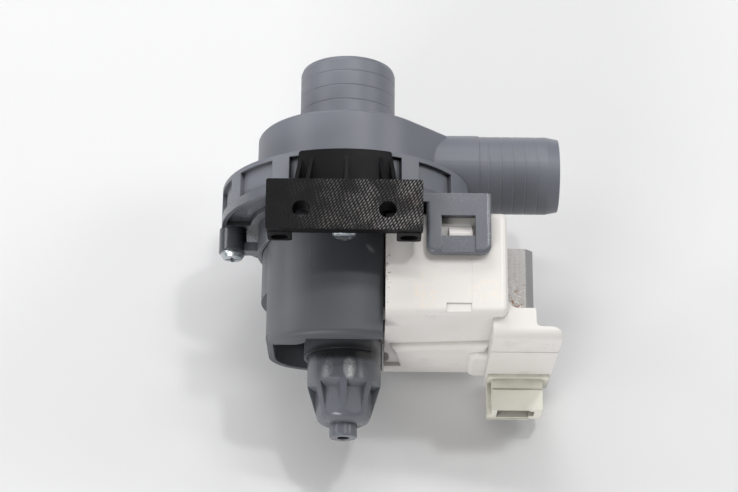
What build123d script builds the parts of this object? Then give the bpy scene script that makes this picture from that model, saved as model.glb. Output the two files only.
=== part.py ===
from build123d import *
import os
from math import cos, radians, sin, sqrt, tan

os.makedirs("parts", exist_ok=True)

# Drain pump of a dishwasher, in millimetres. The pump's axis is Y, and the water comes in from +Y.
# X runs towards the outlet and Z towards the mounting bracket. The origin is on the axis, where the
# inlet spigot meets the chamber's roof. A depth is a distance from that roof along -Y.

# Clearances
slot_gap = 0.2          # between fixed parts that slot together
stand_gap = 0.35        # between parts that move against each other
running_gap = 0.05      # radial, of the shaft in what it turns in
thread_gap = 0.1        # radial, round a screw's shank
press_gap = 0.02        # radial, of what is pressed on the shaft

# Small shapes used all over
small_round = 0.8
bevel = 0.4
open_by = 1.0           # how far a cut runs past the face that it opens
sink = 0.5              # how far a piece runs into the wall that it grows from

# Pump chamber and its spigots
chamber_r = 29.9        # outside
chamber_wall = 2.4
roof_wall = 2.4
roof_round = 0.9
throat_angle = 45       # of the walls that narrow towards the outlet
throat_x = 33.3
inlet_r = 16.0
inlet_wall = 2.4
inlet_length = 25.7
inlet_ring_start = 4.65
inlet_ring_pitch = 5.25
inlet_rings = 4
outlet_r = 13.0
outlet_wall = 2.2
outlet_depth = 10.9
outlet_root_x = 24.0
outlet_end_x = 70.6
outlet_stop_x = 44.0    # end of the hose's stop, a step in the spigot's root
outlet_stop_rise = 0.3
outlet_ring_start = 23.3
outlet_ring_pitch = 4.0
outlet_rings = 5
ring_width = 0.6        # of the shallow rings on both spigots
ring_drop = 0.12
outlet_taper = 4.0
outlet_taper_drop = 0.8
inlet_taper = 1.2
inlet_taper_drop = 0.4

# Flange rim
rim_r = 41.3
lip_depth = 18.7
lip_thickness = 1.5
rim_wall = 3.0
skirt_length = 9.7      # from the lip to the joint with the rotor housing
window_sink = 1.5
window_pitch = 30
rib_width = 6.4
plain_rim_angle = 31    # the rim has no windows this near the outlet
bolt_inset = 3.8
boss_r = 4.55
joint_depth = lip_depth + skirt_length
bolt_circle_r = rim_r - bolt_inset

# Screws
screw_r = 1.9
screw_head_r = 3.9
screw_head_height = 2.4
screw_head_edge = 0.9   # height of the head's straight side
screw_head_slope = 0.7
screw_head_flat = 1.7
screw_point = 0.6
recess_width = 0.9
recess_length = 4.2
recess_depth = 1.3
screw_bite = 7.0        # length in the volute cover's boss

# Rotor housing
plate_thickness = 3.0
land_r = 32.0
ring_wall = 1.5
pan_thickness = 1.2     # of the plate between its land and its ring
floor_rise = 2.0        # of the chamber's floor above the joint
seal_width = 2.0
seal_height = 1.8
seal_bevel = 0.3
collar_r = 29.2
collar_length = 9.1
boss_length = 8.0
bridge_width = 4.8      # from a tall boss to the collar
bridge_length = 3.0
mouth_wall = 1.4
can_r = 11.9
can_wall = 1.3
pocket_depth = 87.0     # where the floors of the nose's pockets begin
pocket_lead = 2.1       # of a pocket's outer edge ahead of its floor
nose_length = 10.7      # from the pockets' floors to the nose's end
nose_depth = pocket_depth + nose_length
nose_end_r = 8.0
nose_rib_count = 8
nose_rib_width = 1.9
nose_flat = 8.6         # from the axis to a pocket's floor
nose_rib_flare = 0.3    # sideways lean of a pocket's walls
nose_round = 3.4
tip_r = 4.45
tip_length = 4.3
tip_hole_r = 2.0
tip_hole_length = 4.0
plate_back = joint_depth + plate_thickness
collar_depth = plate_back + collar_length
boss_depth = plate_back + boss_length

# Bearings, shaft and rotor
shaft_r = 2.0
bearing_r = 4.0
bearing_length = 6.5
mount_wall = 1.6
mount_lip = 0.8
carrier_r = 13.0
carrier_flange_r = 15.0
carrier_flange = 1.6
carrier_length = 6.0
carrier_wall = 2.2
carrier_seal_width = 2.0
carrier_seal_height = 1.4
magnet_r = 9.9
magnet_overhang = 3.2   # past the core at each end
magnet_bore_r = 4.2
sleeve_flange_r = 8.6
sleeve_flange = 1.8
sleeve_neck_r = 3.4
key_width = 2.2
washer_r = 3.8
washer_thickness = 1.0
end_play = 0.35
front_seat_sink = 3.0    # of the front bearing's seat behind the chamber's floor
rear_seat_lead = 2.6     # of the rear bearing's seat ahead of the pockets' floors
floor_depth = joint_depth - floor_rise
front_seat_depth = floor_depth + front_seat_sink
rear_seat_depth = pocket_depth - rear_seat_lead
mount_length = bearing_length + mount_lip
seat_r = bearing_r + mount_wall + 2 * slot_gap
shaft_pass_r = shaft_r + 2 * stand_gap
carrier_groove_depth = floor_depth + carrier_flange + (carrier_length - carrier_seal_width) / 2

# Impeller and its free-play coupling
impeller_r = 23.0
blade_count = 6
blade_thickness = 1.8
blade_height = 14.5
blade_shoulder_r = 14.0  # where the blade's front edge begins to fall
blade_tip_drop = 5.0
disc_r = 20.0
disc_thickness = 1.6
hub_r = 8.2
hub_wall = 1.6
floor_gap = 1.8         # from the impeller's back to the chamber's floor
cap_thickness = 1.4
dog_r = 3.4
dog_length = 6.0
dog_angle = 70
lug_angle = 80
cup_floor = 3.0
cap_spigot = 2.2
cap_bevel = 1.2
cup_r = hub_r - hub_wall
hub_back = floor_depth - floor_gap
hub_front = hub_back - disc_thickness - blade_height
dog_start = hub_back - cup_floor - end_play - dog_length

# Steel core
core_offset = 12.8      # from the plate's back to the first lamination
core_length = 20.0
core_half_height = 20.0
slot_half_height = 6.5
pole_bore_r = 12.6
pole_step = 0.9         # the wider half of each pole face, which sets the way the rotor rests
pole_end_x = -19.0
yoke_inner_x = 50.0
yoke_outer_x = 60.3
yoke_chamfer = 2.5
core_depth = plate_back + core_offset
core_back = core_depth + core_length
magnet_start = core_depth - magnet_overhang
magnet_end = core_back + magnet_overhang

# Coils
bobbin_wall = 0.8
bobbin_flange = 1.0
winding_height = 4.6
winding_side = 2.6
winding_gap = 0.1       # between a winding and its bobbin
coil_start_x = 13.7
coil_end_x = 48.0

# Motor cover
cover_left_x = -25.1
cover_right_x = 12.4
cover_half_height = 27.5
cover_arch_r = 38.0
cover_corner_r = 15.0
cover_wall = 2.0
drum_r = 27.5
drum_depth = 57.0
cover_core_gap = 2.3    # between the steel core and the inner web
cover_low_step = 3.4    # of the end wall where the low opening begins
cover_round = 2.0
end_wall_low_z = 22.1
end_wall_side_z = 15.4
end_wall_side_x = -12.0
end_wall_corner_r = 4.5
web_low_z = -5.0        # of the inner web, which is open below
web_inset = 9.1         # of the inner web ahead of the end wall's face
web_thickness = 2.0
can_ring_wall = 1.0
ring_end_x = 9.0
cover_rib_width = 1.6
cover_rib_xs = (-10.0, 5.0)
web_depth = core_back + cover_core_gap
cover_depth = web_depth + web_inset
cover_low_depth = cover_depth - cover_low_step

# White coil cover
body_left_x = 13.0
body_right_x = 51.4
body_half_height = 31.0
body_depth = 35.8
body_end = 69.6
body_round = 2.0
lower_block_end = 72.0
lower_block_left_x = 15.2
lower_block_left_z = -1.4    # of its top edge's left end
lower_block_top_z = 2.6     # of its top edge's right end
lower_block_low_z = -23.2
lower_block_slant = 3.4
lower_block_round = 2.0
foot_end = 71.0
note_x = 32.1           # the shallow recess in the top's front edge
note_end_x = 39.9
note_length = 3.4
note_sink = 0.5
parting_width = 0.25
parting_sink = 0.05
block_left_x = 46.8
block_right_x = 68.6
block_depth = 72.3
block_end = 76.3
block_top_z = 27.0
block_low_z = -21.5
block_edge_r = 3.0      # of the block's upper front edge
ledge_z = 11.5          # on the block's front, which is set back above it
ledge_step = 0.2
lead_boss_x = 40.6      # round lump beside the block, over the windings' leads
lead_boss_end = 74.0
lead_boss_top_z = -2.4
lead_boss_low_z = -25.4
lead_boss_r = 3.6
lead_boss_edge_r = 2.2
root_margin = 0.6       # of the block behind the connector's collar
block_corner_r = 3.4
shoulder_margin = 0.1    # of the shoulder's side past the yoke
shoulder_gap = 2.1      # between the yoke and the shoulder behind it
shoulder_r = 3.2
catch_x = 32.9
catch_end_x = 40.2
catch_depth = 41.2
catch_height = 2.4
catch_start_height = 1.0
catch_flat = 1.2

# Connector and its blades
socket_left_x = 49.0
socket_right_x = 65.8
socket_top_z = -15.6
socket_low_z = -27.2
socket_length = 11.6
socket_wall = 0.9
socket_collar = 1.0
socket_collar_rise = 2.2
socket_collar_right_x = 67.8
groove_width = 3.7      # across the socket's top, behind its collar
groove_sink = 0.5
rail_width = 1.3
rail_height = 5.4
mouth_left_x = 50.8
mouth_right_x = 61.6
mouth_low_wall = 2.0
lip_reach = 0.3
key_depth = 1.6
key_inset = 1.4
mouth_length = 10.4
mouth_top_z = socket_top_z - socket_wall
mouth_low_z = socket_low_z + mouth_low_wall
blade_pitch = 5.0
blade_width = 2.8
blade_plate = 0.8
blade_root = 5.0
blade_setback = 5.0

# Latch loop
loop_left_x = 25.7
loop_right_x = 46.1
loop_top_z = 34.9
loop_thickness = 2.4
loop_end = 50.9
loop_window_x = 30.4
loop_window_end_x = 41.1
loop_window_depth = 38.5
loop_bar = 5.8
loop_bar_sink = 0.5
loop_corner_r = 2.8
loop_edge_r = 1.2
ear_left_x = 23.6
ear_low_z = 24.0
ear_thickness = 2.6
ear_side_z = 30.0
ear_corner_r = 1.2
ear_overlap = 0.4       # of the ear's root into the plate's back

# Mounting bracket
bracket_half_width = 24.4
bracket_start = 31.0
bracket_end = 47.6
bracket_rise = 4.7      # of the plate's top above the rim
bracket_plate = 3.6
fixing_r = 2.75
fixing_pitch = 26.8
fixing_depth = 41.0
fixing_wall = 1.6       # of the sleeve under each hole
fixing_stand = 10.5     # of the sleeves above the motor cover's highest line
lug_x = 20.1
lug_width = 7.6
lug_height = 6.5
lug_reach = 0.3
lug_back = 36.0
lug_round = 1.2
lug_slot_width = 5.6    # of the blind slot in each lug
lug_slot_height = 4.2
lug_slot_length = 10.0
saddle_half_width = 14.6
saddle_flare = 1.2
saddle_depth = 19.6
saddle_thickness = 1.8
saddle_rib_width = 1.2
saddle_rib_depth = 22.0  # where the ribs begin
saddle_ribs = ((-14.0, -14), (-10.4, -20), (0.5, 0), (11.1, 20), (14.4, 14))    # X at its foot, lean
bracket_web_half_width = 9.0
bracket_web = 5.6       # thickness, under the top screw's head
bracket_top_z = rim_r + bracket_rise
bracket_low_z = bracket_top_z - bracket_plate
fixing_low_z = cover_half_height + fixing_stand


def across(depth):
    """Plane across the pump's axis at a depth, with X and Z as its own axes, facing the motor."""
    return Plane.XZ.offset(depth)


def slab(outline, start, end):
    """Solid between two depths with the outline given in X and Z."""
    return extrude(across(start) * outline, amount=end - start)


def drum(radius, start, end):
    """Round solid on the pump's axis between two depths."""
    return slab(Circle(radius), start, end)


def tube(outer, inner, start, end):
    """Ring on the pump's axis between two depths."""
    return slab(Circle(outer) - Circle(inner), start, end)


def brick(x, depth, z):
    """Box from pairs of limits in X, depth and Z."""
    size = (x[1] - x[0], depth[1] - depth[0], z[1] - z[0])
    centre = ((x[0] + x[1]) / 2, -(depth[0] + depth[1]) / 2, (z[0] + z[1]) / 2)
    return Pos(*centre) * Box(*size)


def turned(profile):
    """Solid of revolution about the pump's axis, from points of radius and depth."""
    points = [(r, -depth) for r, depth in profile]
    return revolve(Plane.XY * make_face(Polyline(*points, close=True)), Axis.Y)


def rounded_rect(x, z, radius):
    """Sketch in X and Z of a rectangle between limits, with round corners."""
    centre = Pos((x[0] + x[1]) / 2, (z[0] + z[1]) / 2)
    return centre * RectangleRounded(x[1] - x[0], z[1] - z[0], radius)


def spoke(angle, inner, outer, width):
    """Sketch in X and Z of a straight rib that points away from the axis."""
    return Rot(Z=angle) * Pos((inner + outer) / 2, 0) * Rectangle(outer - inner, width)


def bolt_centre(angle):
    """Centre in X and Z of a flange screw."""
    return Pos(bolt_circle_r * cos(radians(angle)), bolt_circle_r * sin(radians(angle)))


def save(node, solid):
    """Write one sub-part under its node's name."""
    export_step(solid, f"parts/{node}.step")


# Screws round the flange: the angle of each, and the depth of the seat under its head
low_screw_angles = (180, 270)
flush_screw_angles = (30, 330)
bracket_screw_angle = 90
flange_screw_seats = {angle: boss_depth for angle in low_screw_angles}
flange_screw_seats |= {angle: plate_back for angle in flush_screw_angles}
screw_angles = (*flange_screw_seats, bracket_screw_angle)
bracket_screw_seat = boss_depth + bracket_web
screw_tip = joint_depth - screw_bite


def spigot(radius, length, rings, taper, taper_drop):
    """Outside of a hose spigot that stands on +Z: shallow rings and a tapered end."""
    points = [(0, 0), (radius, 0)]
    for height in rings:
        points.append((radius, height - ring_width / 2))
        points.append((radius - ring_drop, height))
        points.append((radius, height + ring_width / 2))
    points += [(radius, length - taper), (radius - taper_drop, length), (0, length)]
    return revolve(Plane.XZ * make_face(Polyline(*points, close=True)), Axis.Z)


def chamber_outline(radius, end_x):
    """Round chamber with two tangent walls that narrow towards the outlet."""
    c = cos(radians(throat_angle))
    s = sin(radians(throat_angle))
    corner_z = (radius - end_x * c) / s
    wedge = Polyline(
        (0, 0), (radius * c, -radius * s), (end_x, -corner_z),
        (end_x, corner_z), (radius * c, radius * s), close=True,
    )
    return Circle(radius) + make_face(wedge)


def rim_windows():
    """Shallow windows between the ribs of the rim, left out beside the outlet."""
    ring = Circle(rim_r + open_by) - Circle(rim_r - window_sink)
    for angle in range(0, 360, window_pitch):
        ring -= spoke(angle, rim_r - rim_wall, rim_r + 2 * open_by, rib_width)
    reach_x = 2 * rim_r * cos(radians(plain_rim_angle))
    reach_z = 2 * rim_r * sin(radians(plain_rim_angle))
    plain = Polyline((0, 0), (reach_x, -reach_z), (reach_x, reach_z), close=True)
    return slab(ring - make_face(plain), lip_depth + lip_thickness, joint_depth + open_by)


def volute_cover():
    """Pump chamber with both spigots and the ribbed rim that screws to the rotor housing."""
    shell = slab(chamber_outline(chamber_r, throat_x), 0, joint_depth)
    shell = fillet(shell.edges().group_by(Axis.Y)[-1], roof_round)
    shell += drum(rim_r, lip_depth, lip_depth + lip_thickness)
    shell += tube(rim_r, rim_r - rim_wall, lip_depth, joint_depth)
    for angle in screw_angles:
        boss = bolt_centre(angle) * Circle(boss_r) & Circle(rim_r)
        shell += slab(boss, lip_depth, joint_depth)
    shell -= rim_windows()
    inlet_rings_at = [inlet_ring_start + inlet_ring_pitch * i for i in range(inlet_rings)]
    inlet = spigot(inlet_r, inlet_length, inlet_rings_at, inlet_taper, inlet_taper_drop)
    shell += Plane(origin=(0, 0, 0), x_dir=(1, 0, 0), z_dir=(0, 1, 0)) * inlet
    outlet_length = outlet_end_x - outlet_root_x
    stop_length = outlet_stop_x - outlet_root_x
    outlet_rings_at = [outlet_ring_start + outlet_ring_pitch * i for i in range(outlet_rings)]
    outlet = spigot(outlet_r, outlet_length, outlet_rings_at, outlet_taper, outlet_taper_drop)
    outlet_plane = Plane(origin=(outlet_root_x, -outlet_depth, 0), x_dir=(0, 0, 1), z_dir=(1, 0, 0))
    dome_centre = Pos(outlet_root_x, -outlet_depth, 0)
    hollow = slab(chamber_outline(chamber_r - chamber_wall, throat_x - chamber_wall), roof_wall, joint_depth)
    shell += outlet_plane * outlet
    shell += outlet_plane * Pos(0, 0, stop_length / 2) * Cylinder(outlet_r + outlet_stop_rise, stop_length)
    shell += dome_centre * Sphere(outlet_r)
    shell -= hollow
    shell -= drum(inlet_r - inlet_wall, -inlet_length - open_by, roof_wall + open_by)
    bore_r = outlet_r - outlet_wall
    shell -= dome_centre * Sphere(bore_r)
    shell -= outlet_plane * Pos(0, 0, outlet_length / 2) * Cylinder(bore_r, outlet_length + 2 * open_by)
    for angle in screw_angles:
        hole = bolt_centre(angle) * Circle(screw_r + thread_gap)
        shell -= slab(hole, screw_tip - open_by, joint_depth + open_by)
    return shell


def seal_groove_r():
    """Inner and outer radius of the chamber seal, under the end of the chamber's wall."""
    middle = chamber_r - chamber_wall / 2
    return middle - seal_width / 2, middle + seal_width / 2


def chamber_seal():
    """Flat ring with round edges that seals the chamber's wall to the rotor housing."""
    inner, outer = seal_groove_r()
    ring = tube(outer, inner, joint_depth, joint_depth + seal_height)
    return chamfer(ring.edges(), seal_bevel)


def cover_outline(inset):
    """Outline of the motor cover: arched above and below, flat and round-cornered at the left."""
    arch = cover_arch_r - inset
    centre_z = cover_half_height - cover_arch_r
    top = Pos(0, centre_z) * Circle(arch)
    bottom = Pos(0, -centre_z) * Circle(arch)
    left = cover_left_x + inset
    right = 2 * cover_half_height
    strip = Pos((left + right) / 2, 0) * Rectangle(right - left, 4 * cover_half_height)
    outline = top & bottom & strip
    corners = outline.vertices().group_by(Axis.X)[0]
    return fillet(corners, cover_corner_r - inset)


def left_of(x):
    """Sketch of everything left of an X, to trim what is open to the right."""
    reach = 3 * cover_half_height
    return Pos(x - reach / 2, 0) * Rectangle(reach, 2 * reach)


def nose():
    """Closed end of the can: eight ribs with flat pockets between them, a round end and a tip."""
    pocket_start = pocket_depth - pocket_lead
    body = turned([
        (0, plate_back), (can_r, plate_back), (can_r, pocket_start), (nose_end_r, nose_depth),
        (0, nose_depth),
    ])
    body = fillet(body.edges().filter_by(GeomType.CIRCLE).group_by(Axis.Y)[0], nose_round)
    step = 360 / nose_rib_count
    half_gap = nose_flat * tan(radians(step / 2)) - nose_rib_width / 2
    far = can_r + open_by
    far_half_gap = half_gap + (far - nose_flat) * nose_rib_flare
    pocket = make_face(Polyline(
        (nose_flat, -half_gap), (far, -far_half_gap), (far, far_half_gap), (nose_flat, half_gap),
        close=True,
    ))
    slope = make_face(Polyline(
        (nose_flat - open_by, -pocket_depth), (nose_flat, -pocket_depth), (can_r, -pocket_start),
        (far, -pocket_start), (far, -nose_depth), (nose_flat - open_by, -nose_depth), close=True,
    ))
    pocket_end = nose_depth - nose_round / 2
    cut = slab(pocket, pocket_start - open_by, pocket_end) & extrude(slope, amount=far, both=True)
    for i in range(nose_rib_count):
        body -= Rot(Y=-bracket_screw_angle - step * (i + 0.5)) * cut
    tip_end = nose_depth + tip_length
    tip = drum(tip_r, nose_depth - nose_round, tip_end)
    body += chamfer(tip.edges().group_by(Axis.Y)[0], bevel)
    return body - drum(tip_hole_r, tip_end - tip_hole_length, tip_end + open_by)


def ear():
    """Ear behind the housing's plate that carries the latch loop."""
    outline = Polyline(
        (ear_left_x, ear_low_z), (sqrt(rim_r ** 2 - ear_low_z ** 2), ear_low_z),
        (loop_right_x, ear_side_z), (loop_right_x, loop_top_z), (ear_left_x, loop_top_z), close=True,
    )
    face = make_face(outline)
    face = fillet(face.vertices().group_by(Axis.X)[-1], ear_corner_r)
    return slab(face, plate_back - ear_overlap, plate_back + ear_thickness)


def latch_loop():
    """Flat loop that snaps over the coil cover's catch, with its far bar a little lower."""
    bar_start = loop_end - loop_bar
    low_z = loop_top_z - loop_thickness
    width = loop_right_x - loop_left_x
    middle = Pos((loop_left_x + loop_right_x) / 2, 0)
    outline = middle * Pos(0, -(plate_back + loop_end) / 2) * RectangleRounded(
        width, loop_end - plate_back, loop_corner_r)
    outline += middle * Pos(0, -plate_back - loop_corner_r) * Rectangle(width, 2 * loop_corner_r)
    plate = extrude(Plane.XY.offset(low_z) * outline, amount=loop_thickness)
    top_edges = plate.edges().group_by(Axis.Z)[-1]
    plate = fillet([edge for edge in top_edges if edge.center().Y < -plate_back - bevel], loop_edge_r)
    window_x = (loop_window_x, loop_window_end_x)
    plate -= brick(window_x, (loop_window_depth, bar_start), (low_z - open_by, loop_top_z + open_by))
    return plate - brick(
        window_x, (bar_start - open_by, loop_end + open_by),
        (loop_top_z - loop_bar_sink, loop_top_z + open_by))


def rotor_housing():
    """Plate behind the chamber with its ring, spokes, bosses and latch, and the rotor's closed can."""
    mouth_r = carrier_r + slot_gap + mouth_wall
    mouth_back = floor_depth + carrier_flange + carrier_length + mouth_wall
    body = drum(chamber_r - chamber_wall - slot_gap, floor_depth, plate_back)
    body += drum(land_r, joint_depth, plate_back)
    body += tube(rim_r, rim_r - ring_wall, joint_depth, plate_back)
    body += tube(rim_r - ring_wall / 2, land_r - sink, joint_depth, joint_depth + pan_thickness)
    for angle in screw_angles:
        seat = flange_screw_seats.get(angle, boss_depth)
        disc = bolt_centre(angle) * Circle(boss_r)
        pad = spoke(angle, land_r - sink, rim_r, 2 * boss_r)
        body += slab(pad & Circle(rim_r), joint_depth, plate_back)
        if seat > plate_back:
            body += slab(disc, plate_back, seat)
            bridge = spoke(angle, collar_r - ring_wall, bolt_circle_r, bridge_width)
            body += slab(bridge, seat - bridge_length, seat)
    collar = Circle(collar_r) - Circle(drum_r + slot_gap) - offset(cover_outline(0), slot_gap)
    collar &= left_of(cover_right_x)
    body += slab(collar, plate_back, collar_depth)
    body += drum(mouth_r, plate_back, mouth_back)
    body += nose()
    body += ear() + latch_loop()
    inner, outer = seal_groove_r()
    body -= tube(outer, inner, joint_depth - open_by, joint_depth + seal_height)
    body -= can_inside()
    for angle in screw_angles:
        seat = flange_screw_seats.get(angle, boss_depth)
        hole = bolt_centre(angle) * Circle(screw_r + thread_gap)
        body -= slab(hole, joint_depth - open_by, seat + open_by)
    return body


def can_inside():
    """Room in the housing for the bearing carrier, the rotor and the rear bearing's cup."""
    mouth = floor_depth + carrier_flange
    bore_start = mouth + carrier_length
    return turned([
        (0, floor_depth - open_by), (carrier_flange_r + slot_gap, floor_depth - open_by),
        (carrier_flange_r + slot_gap, mouth), (carrier_r + slot_gap, mouth),
        (carrier_r + slot_gap, bore_start), (can_r - can_wall, bore_start),
        (can_r - can_wall, rear_seat_depth), (seat_r, rear_seat_depth),
        (seat_r, rear_seat_depth + mount_length), (0, rear_seat_depth + mount_length),
    ])


def bearing_carrier():
    """Plug in the can's mouth, with a groove for its ring and a seat for the front bearing."""
    neck = floor_depth + carrier_flange
    back = neck + carrier_length
    seat_end = front_seat_depth + mount_length
    groove_start = carrier_groove_depth - slot_gap / 2
    groove_end = carrier_groove_depth + carrier_seal_width + slot_gap / 2
    groove_r = carrier_r + slot_gap - carrier_seal_height
    return turned([
        (shaft_pass_r, floor_depth), (carrier_flange_r, floor_depth), (carrier_flange_r, neck),
        (carrier_r, neck), (carrier_r, groove_start), (groove_r, groove_start),
        (groove_r, groove_end), (carrier_r, groove_end), (carrier_r, back),
        (seat_r + carrier_wall, back), (seat_r + carrier_wall, seat_end), (seat_r, seat_end),
        (seat_r, front_seat_depth), (shaft_pass_r, front_seat_depth),
    ])


def carrier_seal():
    """Ring in the bearing carrier's groove."""
    outer = carrier_r + slot_gap
    end = carrier_groove_depth + carrier_seal_width
    ring = tube(outer, outer - carrier_seal_height, carrier_groove_depth, end)
    return fillet(ring.edges(), carrier_seal_height / 3)


def bearing(start):
    """Plain bearing with chamfered ends."""
    ring = tube(bearing_r, shaft_r + running_gap, start, start + bearing_length)
    outer = ring.edges().filter_by(GeomType.CIRCLE).group_by(SortBy.RADIUS)[-1]
    return chamfer(outer, bevel)


def bearing_mount(start, lip_at_start):
    """Rubber cup round a bearing, with a lip over one end."""
    inner = bearing_r + slot_gap / 2
    outer = inner + mount_wall
    cup_start = start + mount_lip if lip_at_start else start
    lip_start = start if lip_at_start else start + bearing_length
    cup = tube(outer, inner, cup_start, cup_start + bearing_length)
    return cup + tube(outer, shaft_pass_r, lip_start, lip_start + mount_lip)


def rotor_shaft():
    """Straight steel shaft with bevelled ends, from the impeller's cap to the rear bearing."""
    shaft = drum(shaft_r, hub_front + cap_thickness + end_play, rear_seat_depth + bearing_length - end_play)
    return chamfer(shaft.edges().filter_by(GeomType.CIRCLE), bevel)


def rotor_magnet():
    """Ferrite cylinder with a keyway at each end."""
    magnet = tube(magnet_r, magnet_bore_r, magnet_start, magnet_end)
    magnet = chamfer(magnet.edges().filter_by(GeomType.CIRCLE).group_by(SortBy.RADIUS)[-1], bevel)
    reach = magnet_r + open_by
    side = key_width / 2 + slot_gap / 2
    for end in (magnet_start, magnet_end):
        magnet -= brick((-reach, reach), (end - sleeve_flange, end + sleeve_flange), (-side, side))
    return magnet


def magnet_sleeve():
    """Plastic sleeve that holds the magnet on the shaft: two flanges with keys, and two necks."""
    bore = shaft_r + press_gap
    core_r = magnet_bore_r - running_gap
    front = magnet_start - sleeve_flange
    back = magnet_end + sleeve_flange
    neck_start = front_seat_depth + mount_lip + bearing_length + washer_thickness + end_play
    neck_end = rear_seat_depth - washer_thickness - end_play
    sleeve = turned([
        (bore, neck_start), (sleeve_neck_r, neck_start), (sleeve_neck_r, front),
        (sleeve_flange_r, front), (sleeve_flange_r, magnet_start), (core_r, magnet_start),
        (core_r, magnet_end), (sleeve_flange_r, magnet_end), (sleeve_flange_r, back),
        (sleeve_neck_r, back), (sleeve_neck_r, neck_end), (bore, neck_end),
    ])
    key_reach = sleeve_flange - slot_gap / 2
    for start, end in ((magnet_start - slot_gap, magnet_start + key_reach),
                       (magnet_end - key_reach, magnet_end + slot_gap)):
        keys = brick((-sleeve_flange_r, sleeve_flange_r), (start, end), (-key_width / 2, key_width / 2))
        sleeve += keys - drum(sleeve_neck_r, start - open_by, end + open_by)
    return sleeve


def thrust_washer(start):
    """Hard washer between a bearing and the rotor's neck."""
    return tube(washer_r, shaft_r + press_gap, start, start + washer_thickness)


def sector(inner, outer, angle):
    """Sketch in X and Z of part of a ring, centred on +Z."""
    reach = 3 * outer
    half = radians(angle / 2)
    wedge = Polyline(
        (0, 0), (reach * sin(half), reach * cos(half)), (-reach * sin(half), reach * cos(half)), close=True,
    )
    return (Circle(outer) - Circle(inner)) & make_face(wedge)


def drive_dog():
    """Tooth on the shaft's front end that pushes the impeller's lug round."""
    end = dog_start + dog_length
    tooth = sector(shaft_r + sink, cup_r - stand_gap, dog_angle)
    return tube(dog_r, shaft_r + press_gap, dog_start, end) + slab(tooth, dog_start, end)


def blade(angle):
    """One straight radial blade whose front edge falls away towards its tip."""
    back = hub_back - disc_thickness / 2
    root = hub_r - hub_wall / 2
    profile = Polyline(
        (root, -back), (impeller_r, -back), (impeller_r, -hub_front - blade_tip_drop),
        (blade_shoulder_r, -hub_front), (root, -hub_front), close=True,
    )
    plate = extrude(Plane.XY * make_face(profile), amount=blade_thickness / 2, both=True)
    return Rot(Y=angle) * plate


def impeller():
    """Wheel with straight radial blades, which pumps the same whichever way the rotor starts."""
    cup_end = hub_back - cup_floor
    wheel = drum(disc_r, hub_back - disc_thickness, hub_back) + drum(hub_r, hub_front, hub_back)
    for i in range(blade_count):
        wheel += blade(i * 360 / blade_count)
    wheel -= drum(cup_r, hub_front - open_by, cup_end)
    lug = slab(sector(dog_r + stand_gap, hub_r - hub_wall / 2, lug_angle), dog_start, cup_end + sink)
    wheel += Rot(Y=180) * lug
    return wheel - drum(shaft_r + running_gap, hub_front - open_by, hub_back + open_by)


def impeller_cap():
    """Cap on the hub's front with a boss that steadies the shaft's end."""
    start = hub_front - cap_thickness
    bore_start = hub_front + cap_thickness - slot_gap
    plug_r = cup_r - running_gap
    bore_r = shaft_r + running_gap
    return turned([
        (0, start), (hub_r - cap_bevel, start), (hub_r, hub_front - bevel), (hub_r, hub_front),
        (plug_r, hub_front), (plug_r, hub_front + cap_spigot),
        (bore_r, hub_front + cap_spigot + cap_thickness), (bore_r, bore_start), (0, bore_start),
    ])


def stator_core():
    """U-shaped stack of laminations: yoke at the right, and a stepped pole face on each leg."""
    centre_x = (pole_end_x + yoke_outer_x) / 2
    outline = Pos(centre_x, 0) * Rectangle(yoke_outer_x - pole_end_x, 2 * core_half_height)
    outline = chamfer(outline.vertices(), yoke_chamfer)
    stack = slab(outline, core_depth, core_back)
    start = core_depth - open_by
    end = core_back + open_by
    stack -= brick((pole_end_x - open_by, yoke_inner_x), (start, end), (-slot_half_height, slot_half_height))
    stack -= drum(pole_bore_r, start, end)
    quarter = Pos(-pole_bore_r, pole_bore_r) * Rectangle(2 * pole_bore_r, 2 * pole_bore_r)
    wide = Circle(pole_bore_r + pole_step) & quarter
    for turn in (0, 180):
        stack -= slab(Rot(Z=turn) * wide, start, end)
    return stack


def leg_limits(grow):
    """Limits in Z and in depth of the upper core leg, grown all round."""
    z = (slot_half_height - grow, core_half_height + grow)
    return z, (core_depth - grow, core_back + grow)


def coil_bobbin(side):
    """Bobbin round one leg of the core, with a flange at each end."""
    z, depth = leg_limits(slot_gap)
    outer_z, outer_depth = leg_limits(slot_gap + bobbin_wall)
    flange_z = (outer_z[0] - winding_height, outer_z[1] + winding_height)
    flange_depth = (outer_depth[0] - winding_side, outer_depth[1] + winding_side)
    body = brick((coil_start_x, coil_end_x), outer_depth, outer_z)
    for start in (coil_start_x, coil_end_x - bobbin_flange):
        body += brick((start, start + bobbin_flange), flange_depth, flange_z)
    body -= brick((coil_start_x - open_by, coil_end_x + open_by), depth, z)
    return body if side > 0 else mirror(body, Plane.XY)


def coil_winding(side):
    """Copper winding between a bobbin's flanges, with round corners."""
    gap = winding_gap
    z, depth = leg_limits(slot_gap + bobbin_wall + gap)
    outer_z = (z[0] - winding_height + 2 * gap, z[1] + winding_height - 2 * gap)
    outer_depth = (depth[0] - winding_side + 2 * gap, depth[1] + winding_side - 2 * gap)
    x = (coil_start_x + bobbin_flange + gap, coil_end_x - bobbin_flange - gap)
    body = brick(x, outer_depth, outer_z)
    body = fillet(body.edges().filter_by(Axis.X), winding_side - 2 * gap)
    body -= brick((x[0] - open_by, x[1] + open_by), depth, z)
    return body if side > 0 else mirror(body, Plane.XY)


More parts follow.
